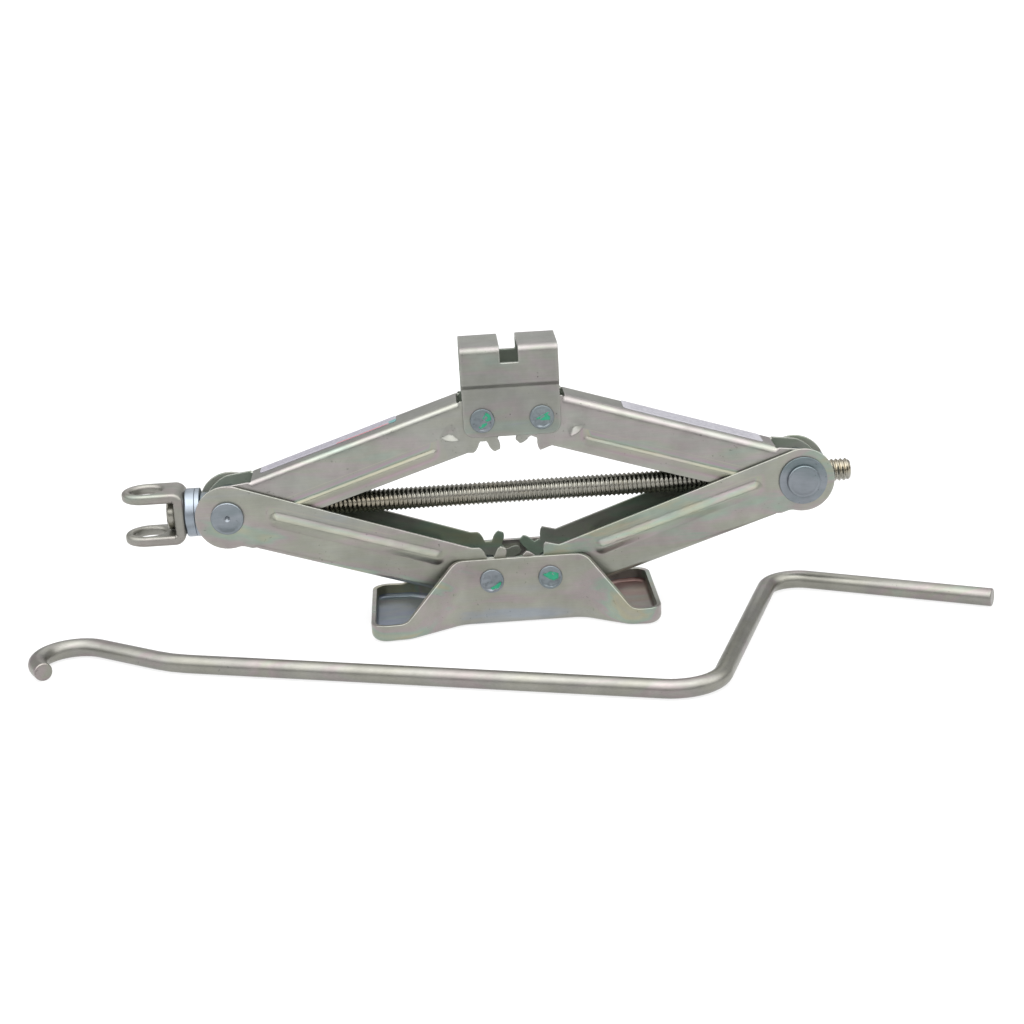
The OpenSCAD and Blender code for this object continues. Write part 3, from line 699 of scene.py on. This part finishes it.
def on_arm(shape, upper, right):
    """A shape in an arm's own axes, moved to its place on that arm."""
    points, faces = shape
    c, s = cos(radians(LIFT)), sin(radians(LIFT))
    x, y, z = points.T
    out = np.stack([x * c + z * s - SIDE_X, y, -x * s + z * c + SIDE_Z], 1)
    if upper:
        out[:, 2] = 2 * SIDE_Z - out[:, 2]
    if right:
        out[:, 0] = -out[:, 0]
    return out, [f[::-1] for f in faces] if upper != right else faces


for level, metals in (("lower", lower_metal), ("upper", upper_metal)):
    for side in ("left", "right"):
        arm_name, is_upper, is_right = f"{level}_arm_{side}", level == "upper", side == "right"
        arm_shape, arm_marks = arm_mesh(is_upper, is_right)
        place_piece(f"{arm_name}_pressing", on_arm(arm_shape, is_upper, is_right), arm_name,
                    metals[side], (arm_name,), arm_marks)


# ---------------- labels

def label_print(g, colour):
    """Colour of a blank label: mottled grey film, with a red edge and a teal corner where marked."""
    place = g.add("ShaderNodeTexCoord").outputs["Object"]
    specks = g.ramp(g.noise(g.mapped(place, scale=(0.5, 1, 1)), 900, 2, 0.6), [(0.42, 0.0), (0.58, 1.0)])
    mottled = g.times(g.times(specks, g.attribute("printed")), 0.5)
    colour = g.mix(mottled, colour, (0.15, 0.145, 0.175))
    colour = g.mix(g.attribute("red_edge"), colour, (0.36, 0.035, 0.04))
    return g.mix(g.attribute("teal_corner"), colour, (0.05, 0.22, 0.21))


def add_label(side, x0, low, coloured, shade):
    """A label on an upper arm's web, from x0 along it and from low across it."""
    length, high, thickness, corner_r = 81.0, 10.2, 0.22, 2
    x1, right = x0 + length, side == "right"
    outline = rounded([[x0, low, corner_r], [x1, low, corner_r], [x1, high, corner_r], [x0, high, corner_r]])

    def base(uv):
        x, y = uv[:, 0], uv[:, 1]
        return np.stack([x, y, -WEB_Z - thickness + crown(x, y)], 1)

    shape, uv, _ = sheet([outline], base, thickness, 0.05, grid_lines(x0, x1, 1.0),
                         grid_lines(low, high, 0.6), outward=-1, seg=0.8, steps=2)
    along, across = (uv[:, 0] - x0) / length, uv[:, 1]
    marks = {"printed": (along > 0.05) & (along < 0.95) & (across > low + 2.5) & (across < high - 1.2)}
    if coloured:
        marks["red_edge"] = (along > 0.56) & (along < 0.97) & (across < low + 1.7) & (across > low + 0.3)
        marks["teal_corner"] = 0.8 * ((along > 0.95) & (across < low + 5))
    film = coat(f"label_{side}_film", shade, 0.12, 0.42, 0.25, 500, label_print)
    place_piece(f"label_{side}_sheet", on_arm(shape, True, right), f"upper_arm_{side}", film,
                (f"label_{side}",), marks, weighted=False)


add_label("left", 24.0, -2.4, True, (0.265, 0.255, 0.29))
add_label("right", 25.5, -7.4, False, (0.31, 0.305, 0.335))


# ---------------- saddle

def build_saddle():
    lo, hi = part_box("saddle")
    half_x, rise, out_y, drop = hi.x / MM, hi.z / MM - SADDLE_Z, hi.y / MM, SADDLE_Z - lo.z / MM
    thickness, edge_r, ear_r, slot_half, slot_depth, slot_r = 2.5, 0.5, 6, 5, 9.3, 0.7
    wall = [[out_y, rise, 4], [out_y, 20.5, 1.6], [SADDLE_FACE, 17.5, 1.2], [SADDLE_FACE, -40, 0]]
    fold = Section(symmetric(wall))

    def s_at(z):
        """Length along the section from its middle to height z on a wall."""
        mask = fold.s > out_y * 0.5
        return float(np.interp(-z, -fold.points[mask, 1], fold.s[mask]))

    def block(x, s, r):
        return rounded([[-x, -s, r], [x, -s, r], [x, s, r], [-x, s, r]])

    def base(uv):
        x, s = uv[:, 0], uv[:, 1]
        y, z = fold(s)
        sag = 0.10 * np.sin(x / 9.0 + 1.3) * np.clip(1 - np.abs(s) / 30, 0, 1)
        return np.stack([x, y, z + SADDLE_Z + sag], 1)

    bottom = s_at(-drop)
    zones = [(side * s_at(z) - reach, side * s_at(z) + reach, 0.6)
             for z, reach in ((rise - 3, 5.5), (19, 4.0)) for side in (1, -1)]
    shape, _, marks = sheet([block(half_x, bottom, ear_r), block(slot_half, s_at(rise - slot_depth), slot_r)],
                            base, thickness, edge_r, grid_lines(-half_x, half_x, 1.6),
                            grid_lines(-bottom, bottom, 1.8, zones), seg=1.0)
    place_piece("saddle_pressing", shape, "saddle", saddle_metal, ("saddle",), marks)


build_saddle()


# ---------------- base

FOOT_HALF = 38.5


def base_outlines(lo, hi):
    """The folded sheet from above, and its top edge from the front: a waist and ears, and wide ends."""
    left, right, waist_x = -lo.x / MM, hi.x / MM, 33
    flare, lip = FOOT_HALF - 2, 10
    left_end = [[-waist_x, -BASE_FACE, 14], [-62, -flare, 12], [-left, -FOOT_HALF, 9]]
    right_end = [[waist_x, BASE_FACE, 14], [57, flare, 12], [right, FOOT_HALF, 9]]

    def mirrored(corners):
        return [[x, -y, r] for x, y, r in reversed(corners)]

    plan = rounded(left_end + mirrored(left_end) + right_end + mirrored(right_end))
    ear_top = hi.z / MM
    crest = rounded([[-left - 9, lip, 0], [-65, lip, 8], [-36, ear_top, 9], [36, ear_top, 9],
                     [60, lip, 8], [right + 9, lip, 0]], closed=False)
    return turned(resample(plan, 1.3), True), np.array(crest)


def build_base():
    thickness, bend_r, edge_r, levels, shade_and_dullness = 2.5, 4.5, 0.4, 16, 0.45
    lo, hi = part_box("base")
    loop, crest = base_outlines(lo, hi)
    top = np.interp(loop[:, 0], crest[:, 0], crest[:, 1])
    n = len(loop)

    # Rings up the outside, over the cut edge and down the inside: how far in, how high and how worn
    bend = [pi / 2 * k / 7 for k in range(8)]
    quarter = [pi / 2 * k / 4 for k in range(1, 5)]
    climb = [k / levels for k in range(1, levels + 1)]
    rows = [(bend_r * (1 - sin(q)), bend_r * (1 - cos(q)), 0.0) for q in bend]
    rows += [(0, bend_r + (top - edge_r - bend_r) * k, 0.6 if k == 1 else 0.0) for k in climb]
    rows += [(edge_r * (1 - cos(q)), top - edge_r * (1 - sin(q)), 1.0) for q in quarter]
    rows += [(thickness - edge_r * (1 - sin(q)), top - edge_r * (1 - cos(q)), 1.0)
             for q in [0.0] + quarter]
    outer = len(rows)
    rows += [(thickness, top - edge_r + (bend_r - top + edge_r) * k, 0.0) for k in climb]
    inner_r = bend_r - thickness
    rows += [(bend_r - inner_r * sin(q), bend_r - inner_r * cos(q), 0.0)
             for q in reversed(bend[:-1])]
    rings = [np.concatenate([inset(loop, side), np.broadcast_to(z, n)[:, None]], 1) for side, z, _ in rows]
    floor_rows = len(bend)
    points, faces = [np.concatenate(rings)], []
    wear = [np.repeat([row[2] for row in rows], n)]
    # The inner mark gives the tray's inner walls and upper floor painted shade, and makes them duller
    inner = [np.repeat([0.0] * outer + [shade_and_dullness] * (len(rows) - outer), n)]
    tray_x = [np.repeat([0.0] * (len(rows) - floor_rows) + [1.0] * floor_rows, n) * points[0][:, 0]]
    for k in range(len(rows) - 1):
        a = np.arange(n) + k * n
        faces += np.stack([a, np.roll(a, -1), np.roll(a, -1) + n, a + n], 1).tolist()

    # The floor of the tray, below and above
    flat, tris = mesh_fill([inset(loop, bend_r)], grid_lines(lo.x / MM, hi.x / MM, 3),
                           grid_lines(-FOOT_HALF, FOOT_HALF, 3), 1.0)
    x, y = flat[n:].T
    total = len(rows) * n
    for first_ring, up in ((0, False), ((len(rows) - 1) * n, True)):
        ids = np.concatenate([np.arange(n) + first_ring, np.arange(len(x)) + total])
        total += len(x)
        z = thickness + 0.25 * np.sin(x / 13.0) * np.cos(y / 17.0) if up else np.zeros(len(x))
        points.append(np.stack([x, y, z], 1))
        wear.append(np.zeros(len(x)))
        inner.append(np.full(len(x), shade_and_dullness if up else 0.0))
        tray_x.append(x * (1.0 if up else 0.0))
        faces += (ids[tris] if up else ids[tris][:, ::-1]).tolist()
    tray_x = np.concatenate(tray_x)
    film = np.where(tray_x == 0, 0, np.clip(0.5 + tray_x / 150, 0.01, 0.99))
    place_piece("base_pressing", (np.concatenate(points), faces), "base", base_metal,
                ("base",), {"wear": np.concatenate(wear), "film": film, "inner": np.concatenate(inner)})


build_base()


# ---------------- rivets and pins

def both_ends(shape, x, z):
    """A turned shape across the jack, once to each side of the middle plane."""
    return [moved(shape, at(x, 0, z, axis)) for axis in ("+Y", "-Y")]


def hammered(points, centre, seed, depth):
    """Dishes the outer faces of a rivet's heads unevenly, as hammering leaves them."""
    out = points.copy()
    for i, p in enumerate(points):
        if abs(p[1]) > abs(centre[1]) - 0.9:
            d = hypot(p[0] - centre[0], p[2] - centre[2])
            fade = min(1.0, max(0.0, (5.7 - d) / 0.9))
            lump = noise.noise(Vector((p[0] * 0.42 + seed, p[1] * 0.1, p[2] * 0.42)))
            out[i][1] -= copysign(depth * fade * (0.75 + 0.9 * lump), p[1])
    return out


# Where the rivets are: x by side, and height and outer face by the piece that they hold
RIVET_X = {"left": -PIVOT_X, "right": PIVOT_X}
RIVET_AT = {"base": (BASE_Z, BASE_FACE), "saddle": (SADDLE_Z, SADDLE_FACE)}


def add_rivet(body, side, seed):
    x, (z, face_y) = RIVET_X[side], RIVET_AT[body]
    r, head_r, head_h, dome = 4.5, 6.7, 1.4, 0.05
    under, top = face_y - 0.02, face_y + head_h
    profile = [(0, 0), (r, 0), (r, under), (head_r - 0.35, under), (head_r, face_y + 0.3)]
    profile += round_over(head_r, top - 0.6, 0.45, 0.6, (0, 30, 60, 90))
    profile += [(rr, top - dome * (1 - rr / head_r)) for rr in (5.75, 5.3, 4.85, 4.1, 3.2, 2.3, 1.4, 0.6, 0)]
    points, faces = joined(*both_ends(lathe(profile, 64), x, z))
    points = hammered(points, (x, top, z), seed, 0.62)
    node = f"{body}_rivet_{side}"
    place_piece(f"{node}_forging", (points, faces), body, bluish_metal, (node,))


add_rivet("base", "left", 1.7)
add_rivet("base", "right", 4.1)
add_rivet("saddle", "left", 7.3)
add_rivet("saddle", "right", 9.9)


def paint_patch(body, side, which, seed, corners):
    """A ragged dab of paint on the front of a rivet head, by its corners from the head's middle."""
    x, (z, ear_y) = RIVET_X[side], RIVET_AT[body]
    face_y, rise, sunk = ear_y + 0.95, 0.16, 0.5
    outline = turned(resample(rounded([[a, b, 0.3] for a, b in corners]), 0.35), True)
    ragged = np.array([[0.16 * noise.noise(Vector((a * 0.7 + seed, b * 0.7, k))) for k in (0.0, 5.0)]
                       for a, b in outline])

    def base(uv):
        a, b = uv.T
        bump = 0.04 * np.sin(a * 2.1 + seed) * np.cos(b * 1.7)
        return np.stack([a + x, bump - face_y - rise, b + z], 1)

    cells = grid_lines(-6, 6, 0.6)
    shape, *_ = sheet([outline + ragged], base, rise + sunk, 0.1, cells, cells, seg=0.4, steps=2)
    place_piece(f"paint_{body}_{side}{which}", shape, body, paint_mark, weighted=False)


paint_patch("saddle", "left", "_a", 1.0, [(0.2, 1.2), (2.2, 4.6), (4.4, 3.6), (5.0, 0.4), (2.6, -0.6)])
paint_patch("saddle", "left", "_b", 2.0,
            [(-2.2, -3.2), (0.2, -1.8), (2.4, -1.0), (2.6, -2.4), (0.4, -3.6), (-1.4, -4.4)])
paint_patch("saddle", "right", "", 3.0, [(-3.2, -0.6), (3.2, 2.6), (4.6, 2.2), (4.4, -1.8), (-2.6, -1.6)])
paint_patch("base", "left", "", 4.0,
            [(-1.2, -4.2), (2.6, -1.9), (4.9, -0.4), (5.1, -2.6), (3.2, -4.6), (0.6, -5.4)])
paint_patch("base", "right", "", 5.0,
            [(-4.2, 1.9), (0.4, 3.5), (4.6, 2.2), (4.4, -0.9), (1.6, -1.8), (-1.4, -0.4)])

# The middle of a trunnion's head, as (radius, height below its face): punched on one, dished on the other
PUNCHED = [(7.4, 0.0), (6.6, -0.28), (5.2, -0.42), (3.2, -0.45), (2.2, -0.35), (1.7, -0.4), (1.1, -1.2),
           (0.45, -1.7), (0, -1.8)]
DISHED = [(7.7, 0.0), (7.3, -0.12), (6.9, -0.22), (6.0, -0.25), (3.0, -0.28), (1.0, -0.3), (0, -0.3)]


def add_trunnion(node, x, head_y, middle):
    """A cross-piece at a side joint: a barrel and journals across the jack, a boss along the screw."""
    barrel_r, block, journal, head_r, head_h = 12.0, 11.2, 7.0, 9.1, 2.2
    boss_r, boss_end, bore, rim = 10.8, 14.1, 6.4, 0.9
    across = [(0, 0), (barrel_r, 0), (barrel_r, block - 1)]
    across += round_over(barrel_r, block - 1, 1, 1, (30, 60, 90))
    across += [(journal + 0.4, block), (journal, block + 0.4)]
    across += [(journal, head_y), (head_r - 0.3, head_y), (head_r, head_y + 0.35)]
    across += round_over(head_r, head_y + head_h - 0.9, 0.8, 0.9, (0, 22, 45, 67, 90))
    across += [(r, head_y + head_h + dz) for r, dz in middle]
    boss = [(bore, -REACH), (boss_r - rim, -REACH)]
    boss += [(r, -z) for r, z in round_over(boss_r, REACH - rim, rim, rim, (60, 30, 0))]
    boss += round_over(boss_r, boss_end - rim, rim, rim, (0, 30, 60, 90))
    boss += [(bore + 0.6, boss_end), (bore, boss_end - 0.6)]
    along = moved(lathe(boss, closed=True), at(x, 0, SIDE_Z, "+X"))
    place_piece(f"{node}_forging", joined(*both_ends(lathe(across), x, SIDE_Z), along), node,
                bluish_metal, (node,))


HEAD_Y = LOWER_HALF + GAP
add_trunnion("thrust_trunnion", -SIDE_X, HEAD_Y, PUNCHED)
add_trunnion("nut_trunnion", SIDE_X, HEAD_Y + WASHER_T, DISHED)
washer = ring(PIN_HOLE_R, 13.4, HEAD_Y, HEAD_Y + WASHER_T - 0.02)
place_piece("nut_pin_washer_rings", joined(*both_ends(washer, SIDE_X, SIDE_Z)), "nut_trunnion",
            bluish_metal, ("nut_pin_washers",))


# ---------------- bearing, screw and yoke

OUTWARD = at(-SIDE_X, 0, SIDE_Z, "-X")


def add_bearing():
    """Two races, and a cage with its balls between them. The outer race has a skirt over the cage."""
    inner_end, balls_x, ball_r, count = REACH + RACE_T, REACH + RACE_T + BALL_GAP / 2, 1.48, 14
    place_piece("inner_race_ring", moved(ring(SCREW_R + 0.1, RACE_R, REACH, inner_end, 0.3), OUTWARD),
                "thrust_trunnion", race_metal, ("inner_race",))
    skirt_in, skirt_end, web = RACE_R - 0.9, inner_end + 0.12, STACK - RACE_T
    cup = [(skirt_in, skirt_end + 0.3), (skirt_in + 0.3, skirt_end), (RACE_R - 0.3, skirt_end),
           (RACE_R, skirt_end + 0.3), (RACE_R, STACK - 1.0), (RACE_R - 0.3, STACK - 0.3),
           (RACE_R - 1.0, STACK), (SCREW_R + 0.4, STACK), (SCREW_R, STACK - 0.4),
           (SCREW_R, web + 0.3), (SCREW_R + 0.3, web), (skirt_in - 0.6, web), (skirt_in, web - 0.6)]
    place_piece("outer_race_cup", moved(lathe(cup, closed=True), OUTWARD), "screw",
                race_metal, ("outer_race",))
    parts = [moved(ring(SCREW_R + 1.2, RACE_R - 1.2, balls_x - 0.8, balls_x + 0.8, 0.3), OUTWARD)]
    half_circle = [(ball_r * sin(q), ball_r * cos(q)) for q in np.linspace(0, pi, 9)]
    points, faces = lathe(half_circle, 16)
    ball = points, [face[::-1] for face in faces]
    for i in range(count):
        spot = Matrix.Rotation(2 * pi * i / count, 4, "Z") @ Matrix.Translation((10, 0, balls_x))
        parts.append(moved(ball, OUTWARD @ spot))
    place_piece("ball_cage_set", joined(*parts), "ball_cage", race_metal, ("ball_cage",))


add_bearing()


def welded(points, faces, end_x):
    """The shape with its doubled points joined, slivers dissolved and the open loop at end_x filled."""
    mesh = bpy.data.meshes.new("thread")
    mesh.from_pydata(points, [], faces)
    bm = bmesh.new()
    bm.from_mesh(mesh)
    bmesh.ops.remove_doubles(bm, verts=bm.verts, dist=0.0005)
    bmesh.ops.dissolve_degenerate(bm, edges=bm.edges, dist=0.0005)
    rim = [e for e in bm.edges if e.is_boundary and all(abs(v.co.x - end_x) < 1e-4 for v in e.verts)]
    if rim:
        bmesh.ops.edgeloop_fill(bm, edges=rim)
    bmesh.ops.recalc_face_normals(bm, faces=bm.faces)
    bmesh.ops.delete(bm, geom=[v for v in bm.verts if not v.link_faces], context="VERTS")
    bm.to_mesh(mesh)
    bm.free()
    shape = np.array([v.co for v in mesh.vertices], float), [list(p.vertices) for p in mesh.polygons]
    bpy.data.meshes.remove(mesh)
    return shape


def screw_thread():
    """A right-hand thread on the whole screw, tapered at its free end."""
    pitch, root_r, around, taper = 2.54, 5.5, 48, 1.3
    start, end = -SIDE_X - REACH + 2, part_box("lifting_screw")[1].x / MM
    # One pitch, as (share of the pitch, radius): crest, flank, root
    tooth = [(0.0, SCREW_R - 0.12), (0.05, SCREW_R), (0.13, SCREW_R), (0.18, SCREW_R - 0.12),
             (0.46, root_r + 0.08), (0.55, root_r), (0.63, root_r), (0.72, root_r + 0.08)]
    points, faces = [], []
    for turn in range(-1, int(ceil((end - start) / pitch)) + 2):
        for share, r in tooth:
            for i in range(around):
                a = 2 * pi * i / around
                x = min(max(start + pitch * (turn + share + i / around), start), end)
                r_here = min(r, SCREW_R - taper + max(0.0, end - x) * 0.8)
                points.append((x, r_here * cos(a), r_here * sin(a) + SIDE_Z))
    for k in range(len(points) // around):
        for i in range(around):
            # The last point of a ring joins the first one of the ring that is a whole pitch on
            seam = 0 if i + 1 < around else len(tooth) * around - around
            a, b = k * around + i, (k + 1) * around + i
            c, d = b + 1 + seam, a + 1 + seam
            if max(b, c, d) < len(points):
                faces.append((a, d, c, b))
    return welded(points, faces, end)


def add_screw():
    head_x, head_r = STACK + YOKE_T, 8.7
    head = [(8.3, head_x), (head_r, head_x + 0.5), (head_r, head_x + 3.2)]
    head += round_over(head_r, head_x + 3.2, 1.8, 1.7, (22, 45, 67, 90))
    head += [(r, head_x + up) for r, up in ((4.8, 5.0), (2.2, 4.9), (1.5, 4.2), (0.6, 3.8), (0, 3.8))]
    shank = lathe([(0, REACH - 3), (SCREW_R, REACH - 3), (SCREW_R, head_x)] + head, 72)
    place_piece("lifting_screw_thread", joined(screw_thread(), moved(shank, OUTWARD)), "screw",
                screw_metal, ("lifting_screw",), weighted=False)


add_screw()


def add_yoke():
    """A strip bent to a U, with a round hole in each lug and the screw's head in its base."""
    half_y, half_z, lug_x, hole_r, bend_r, edge_r = 13.5, 14.8, STACK + 21.3, 8.9, 6.2, 2.0
    far_x = lug_x + half_y + 5
    fold = Section([[far_x, half_z, 0], [STACK, half_z, bend_r], [STACK, -half_z, bend_r],
                    [far_x, -half_z, 0]])

    def s_at(x):
        """Length along the strip from its middle to x on a lug."""
        mask = (fold.s < 0) & (fold.points[:, 1] > 0)
        return abs(float(np.interp(-x, -fold.points[mask, 0], fold.s[mask])))

    lug_s, bend_s = s_at(lug_x), s_at(STACK + 6)
    outline = [(side * (lug_s + s), side * y) for side in (1, -1) for s, y in arc(half_y, -90, 90, step=5)]
    holes = [[(side * lug_s + s, y) for s, y in arc(hole_r, 0, 354, step=6)] for side in (1, -1)]
    holes.append(arc(SCREW_R + 0.05, 0, 350, step=10))

    def base(uv):
        s, y = uv[:, 0], uv[:, 1]
        x, z = fold(s)
        return np.stack([-SIDE_X - x, y, SIDE_Z + z], 1)

    reach = lug_s + half_y
    zones = [(bend_s - 10.5, bend_s + 1, 0.9), (-bend_s - 1, -bend_s + 10.5, 0.9)]
    shape, _, marks = sheet([outline, *holes], base, YOKE_T, edge_r, grid_lines(-reach, reach, 1.6, zones),
                            grid_lines(-half_y, half_y, 1.6), outward=1, seg=1.0, steps=5)
    place_piece("drive_yoke_strip", shape, "screw", yoke_metal, ("drive_yoke",),
                {"wear": marks["wear"]})


add_yoke()


# ---------------- crank handle

def crank_line():
    """The rod's middle line on the floor, from the grip's end to the hook's tip."""
    shaft, throw, grip, splay, hook_r, tip = 296.0, 182.0, 128.0, 10.3, 20.0, 8.0
    neck, neck_run, neck_angle, tip_angle = (-7.0, 0.0), 52.4, 162, 316
    bend_run = hook_r * tan(radians(tip_angle - neck_angle) / 2)
    foot = (neck[0] + shaft, neck[1])
    head = (foot[0], foot[1] + throw)
    hook = polar(neck_run + bend_run, neck_angle, neck)
    corners = [(*polar(grip, -splay, head), 0), (*head, 18), (*foot, 26), (*neck, 60), (*hook, hook_r),
               (*polar(bend_run + tip, tip_angle, hook), 0)]
    line = np.array(rounded(corners, closed=False))
    fine = [line[0]]
    for a, b in zip(line, line[1:]):
        n = max(1, int(np.linalg.norm(b - a) / 4))
        fine += [a + (b - a) * (k + 1) / n for k in range(n)]
    turn, place = radians(-18.7), [-185.5, -61.0]
    spin = np.array([[cos(turn), -sin(turn)], [sin(turn), cos(turn)]])
    return np.array(fine) @ spin.T + place


def add_crank():
    rod_r, around = 5.0, 48
    line = crank_line()
    tangent = np.gradient(line, axis=0)
    tangent /= np.linalg.norm(tangent, axis=1)[:, None]
    # Each cut end, as (distance in from it, radius)
    cap = [(0.0, 0.0), (0.0, rod_r * 0.5), (0.0, rod_r - 0.9), (0.12, rod_r - 0.45), (0.45, rod_r - 0.12),
           (0.9, rod_r)]
    stations = [(line[0] + tangent[0] * inward, tangent[0], r) for inward, r in cap]
    stations += [(p, t, rod_r) for p, t in zip(line[1:-1], tangent[1:-1])]
    stations += [(line[-1] - tangent[-1] * inward, tangent[-1], r) for inward, r in reversed(cap)]
    points, rings = [], []
    for (x, y), (tx, ty), r in stations:
        if r == 0:
            rings.append([len(points)] * around)
            points.append((x, y, rod_r))
            continue
        rings.append(list(range(len(points), len(points) + around)))
        for i in range(around):
            a = 2 * pi * i / around
            side = r * cos(a)
            points.append((x - ty * side, y + tx * side, rod_r + r * sin(a)))
    place_piece("crank_rod", (points, skin(rings)), "crank", rod_metal, ("crank_handle",))


add_crank()


# ---------------- stage, light and camera

def build_stage():
    size, below = 40.0, 0.0002
    mesh = bpy.data.meshes.new("floor")
    mesh.from_pydata([(-size, -size, 0), (size, -size, 0), (size, size, 0), (-size, size, 0)], [],
                     [(0, 1, 2, 3)])
    floor = add_object("floor", mesh)
    floor.location.z = -below
    mesh.materials.append(Graph(bpy.data.materials.new("pale_floor")).finish(
        {"Base Color": (0.22, 0.22, 0.22, 1), "Roughness": 0.9, "Specular IOR Level": 0.1,
         "Emission Color": (1, 1, 1, 1), "Emission Strength": 0.78}))


def add_light(name, place, size, power, colour=(1, 1, 1)):
    """A soft rectangular light, in metres and watts, aimed at the jack."""
    light = bpy.data.lights.new(name, "AREA")
    light.shape = "RECTANGLE"
    light.size, light.size_y = size
    light.energy = power
    light.color = colour
    lamp = add_object(name, light)
    lamp.location = place
    aim = Vector((0, 0, 0.05)) - Vector(place)
    lamp.rotation_mode = "QUATERNION"
    lamp.rotation_quaternion = aim.to_track_quat("-Z", "Y")


def build_light():
    """A studio that is dark low down in front and bright above, and even behind, with four soft lights."""
    world = bpy.data.worlds.new("studio")
    bpy.context.scene.world = world
    g = Graph(world)
    way = g.add("ShaderNodeSeparateXYZ", {0: g.add("ShaderNodeTexCoord").outputs["Generated"]}).outputs
    front = g.ramp(way["Z"], [(0.0, 0.17), (0.18, 0.22), (0.33, 1.4), (0.5, 2.3), (1.0, 2.5)])
    back = g.ramp(way["Z"], [(0.0, 0.5), (0.5, 0.5), (0.75, 0.9), (1.0, 2.5)])
    behind = g.ramp(way["Y"], [(0.1, 0.0), (0.6, 1.0)], "EASE")
    g.finish({"Color": g.mix(behind, front, back), "Strength": 1.0}, "ShaderNodeBackground",
             "ShaderNodeOutputWorld")
    add_light("overhead", (0.0, -0.75, 1.75), (2.4, 1.3), 14)
    add_light("left_fill", (-1.9, -0.5, 0.8), (0.9, 1.4), 4, (0.96, 0.98, 1.0))
    add_light("right_fill", (1.9, -0.6, 0.9), (0.9, 1.4), 4, (1.0, 0.98, 0.96))
    add_light("back_fill", (0.2, 1.9, 1.3), (1.8, 0.7), 4)


def build_camera():
    """A camera a little to the left of the jack's front and above it, slightly rolled."""
    azimuth, elevation, roll = (radians(a) for a in (-1.96, 16.5, 3.24))
    distance, focus = 1171.45, Vector((-2.35, 0, SIDE_Z - 12.11))
    back = Vector((sin(azimuth) * cos(elevation), -cos(azimuth) * cos(elevation),
                   sin(elevation)))
    right = Vector((cos(azimuth), sin(azimuth), 0))
    up = back.cross(right)
    right, up = (right * cos(roll) - up * sin(roll), right * sin(roll) + up * cos(roll))
    data = bpy.data.cameras.new("camera")
    data.sensor_width, data.lens = 36, 73.4745
    data.clip_start, data.clip_end = 0.05, 200
    camera = add_object("camera", data)
    camera.matrix_world = (Matrix.Translation((focus + back * distance) * MM)
                           @ Matrix((right, up, back)).transposed().to_4x4())
    bpy.context.scene.camera = camera
    bpy.context.scene.view_settings.view_transform = "Standard"


build_stage()
build_light()
build_camera()
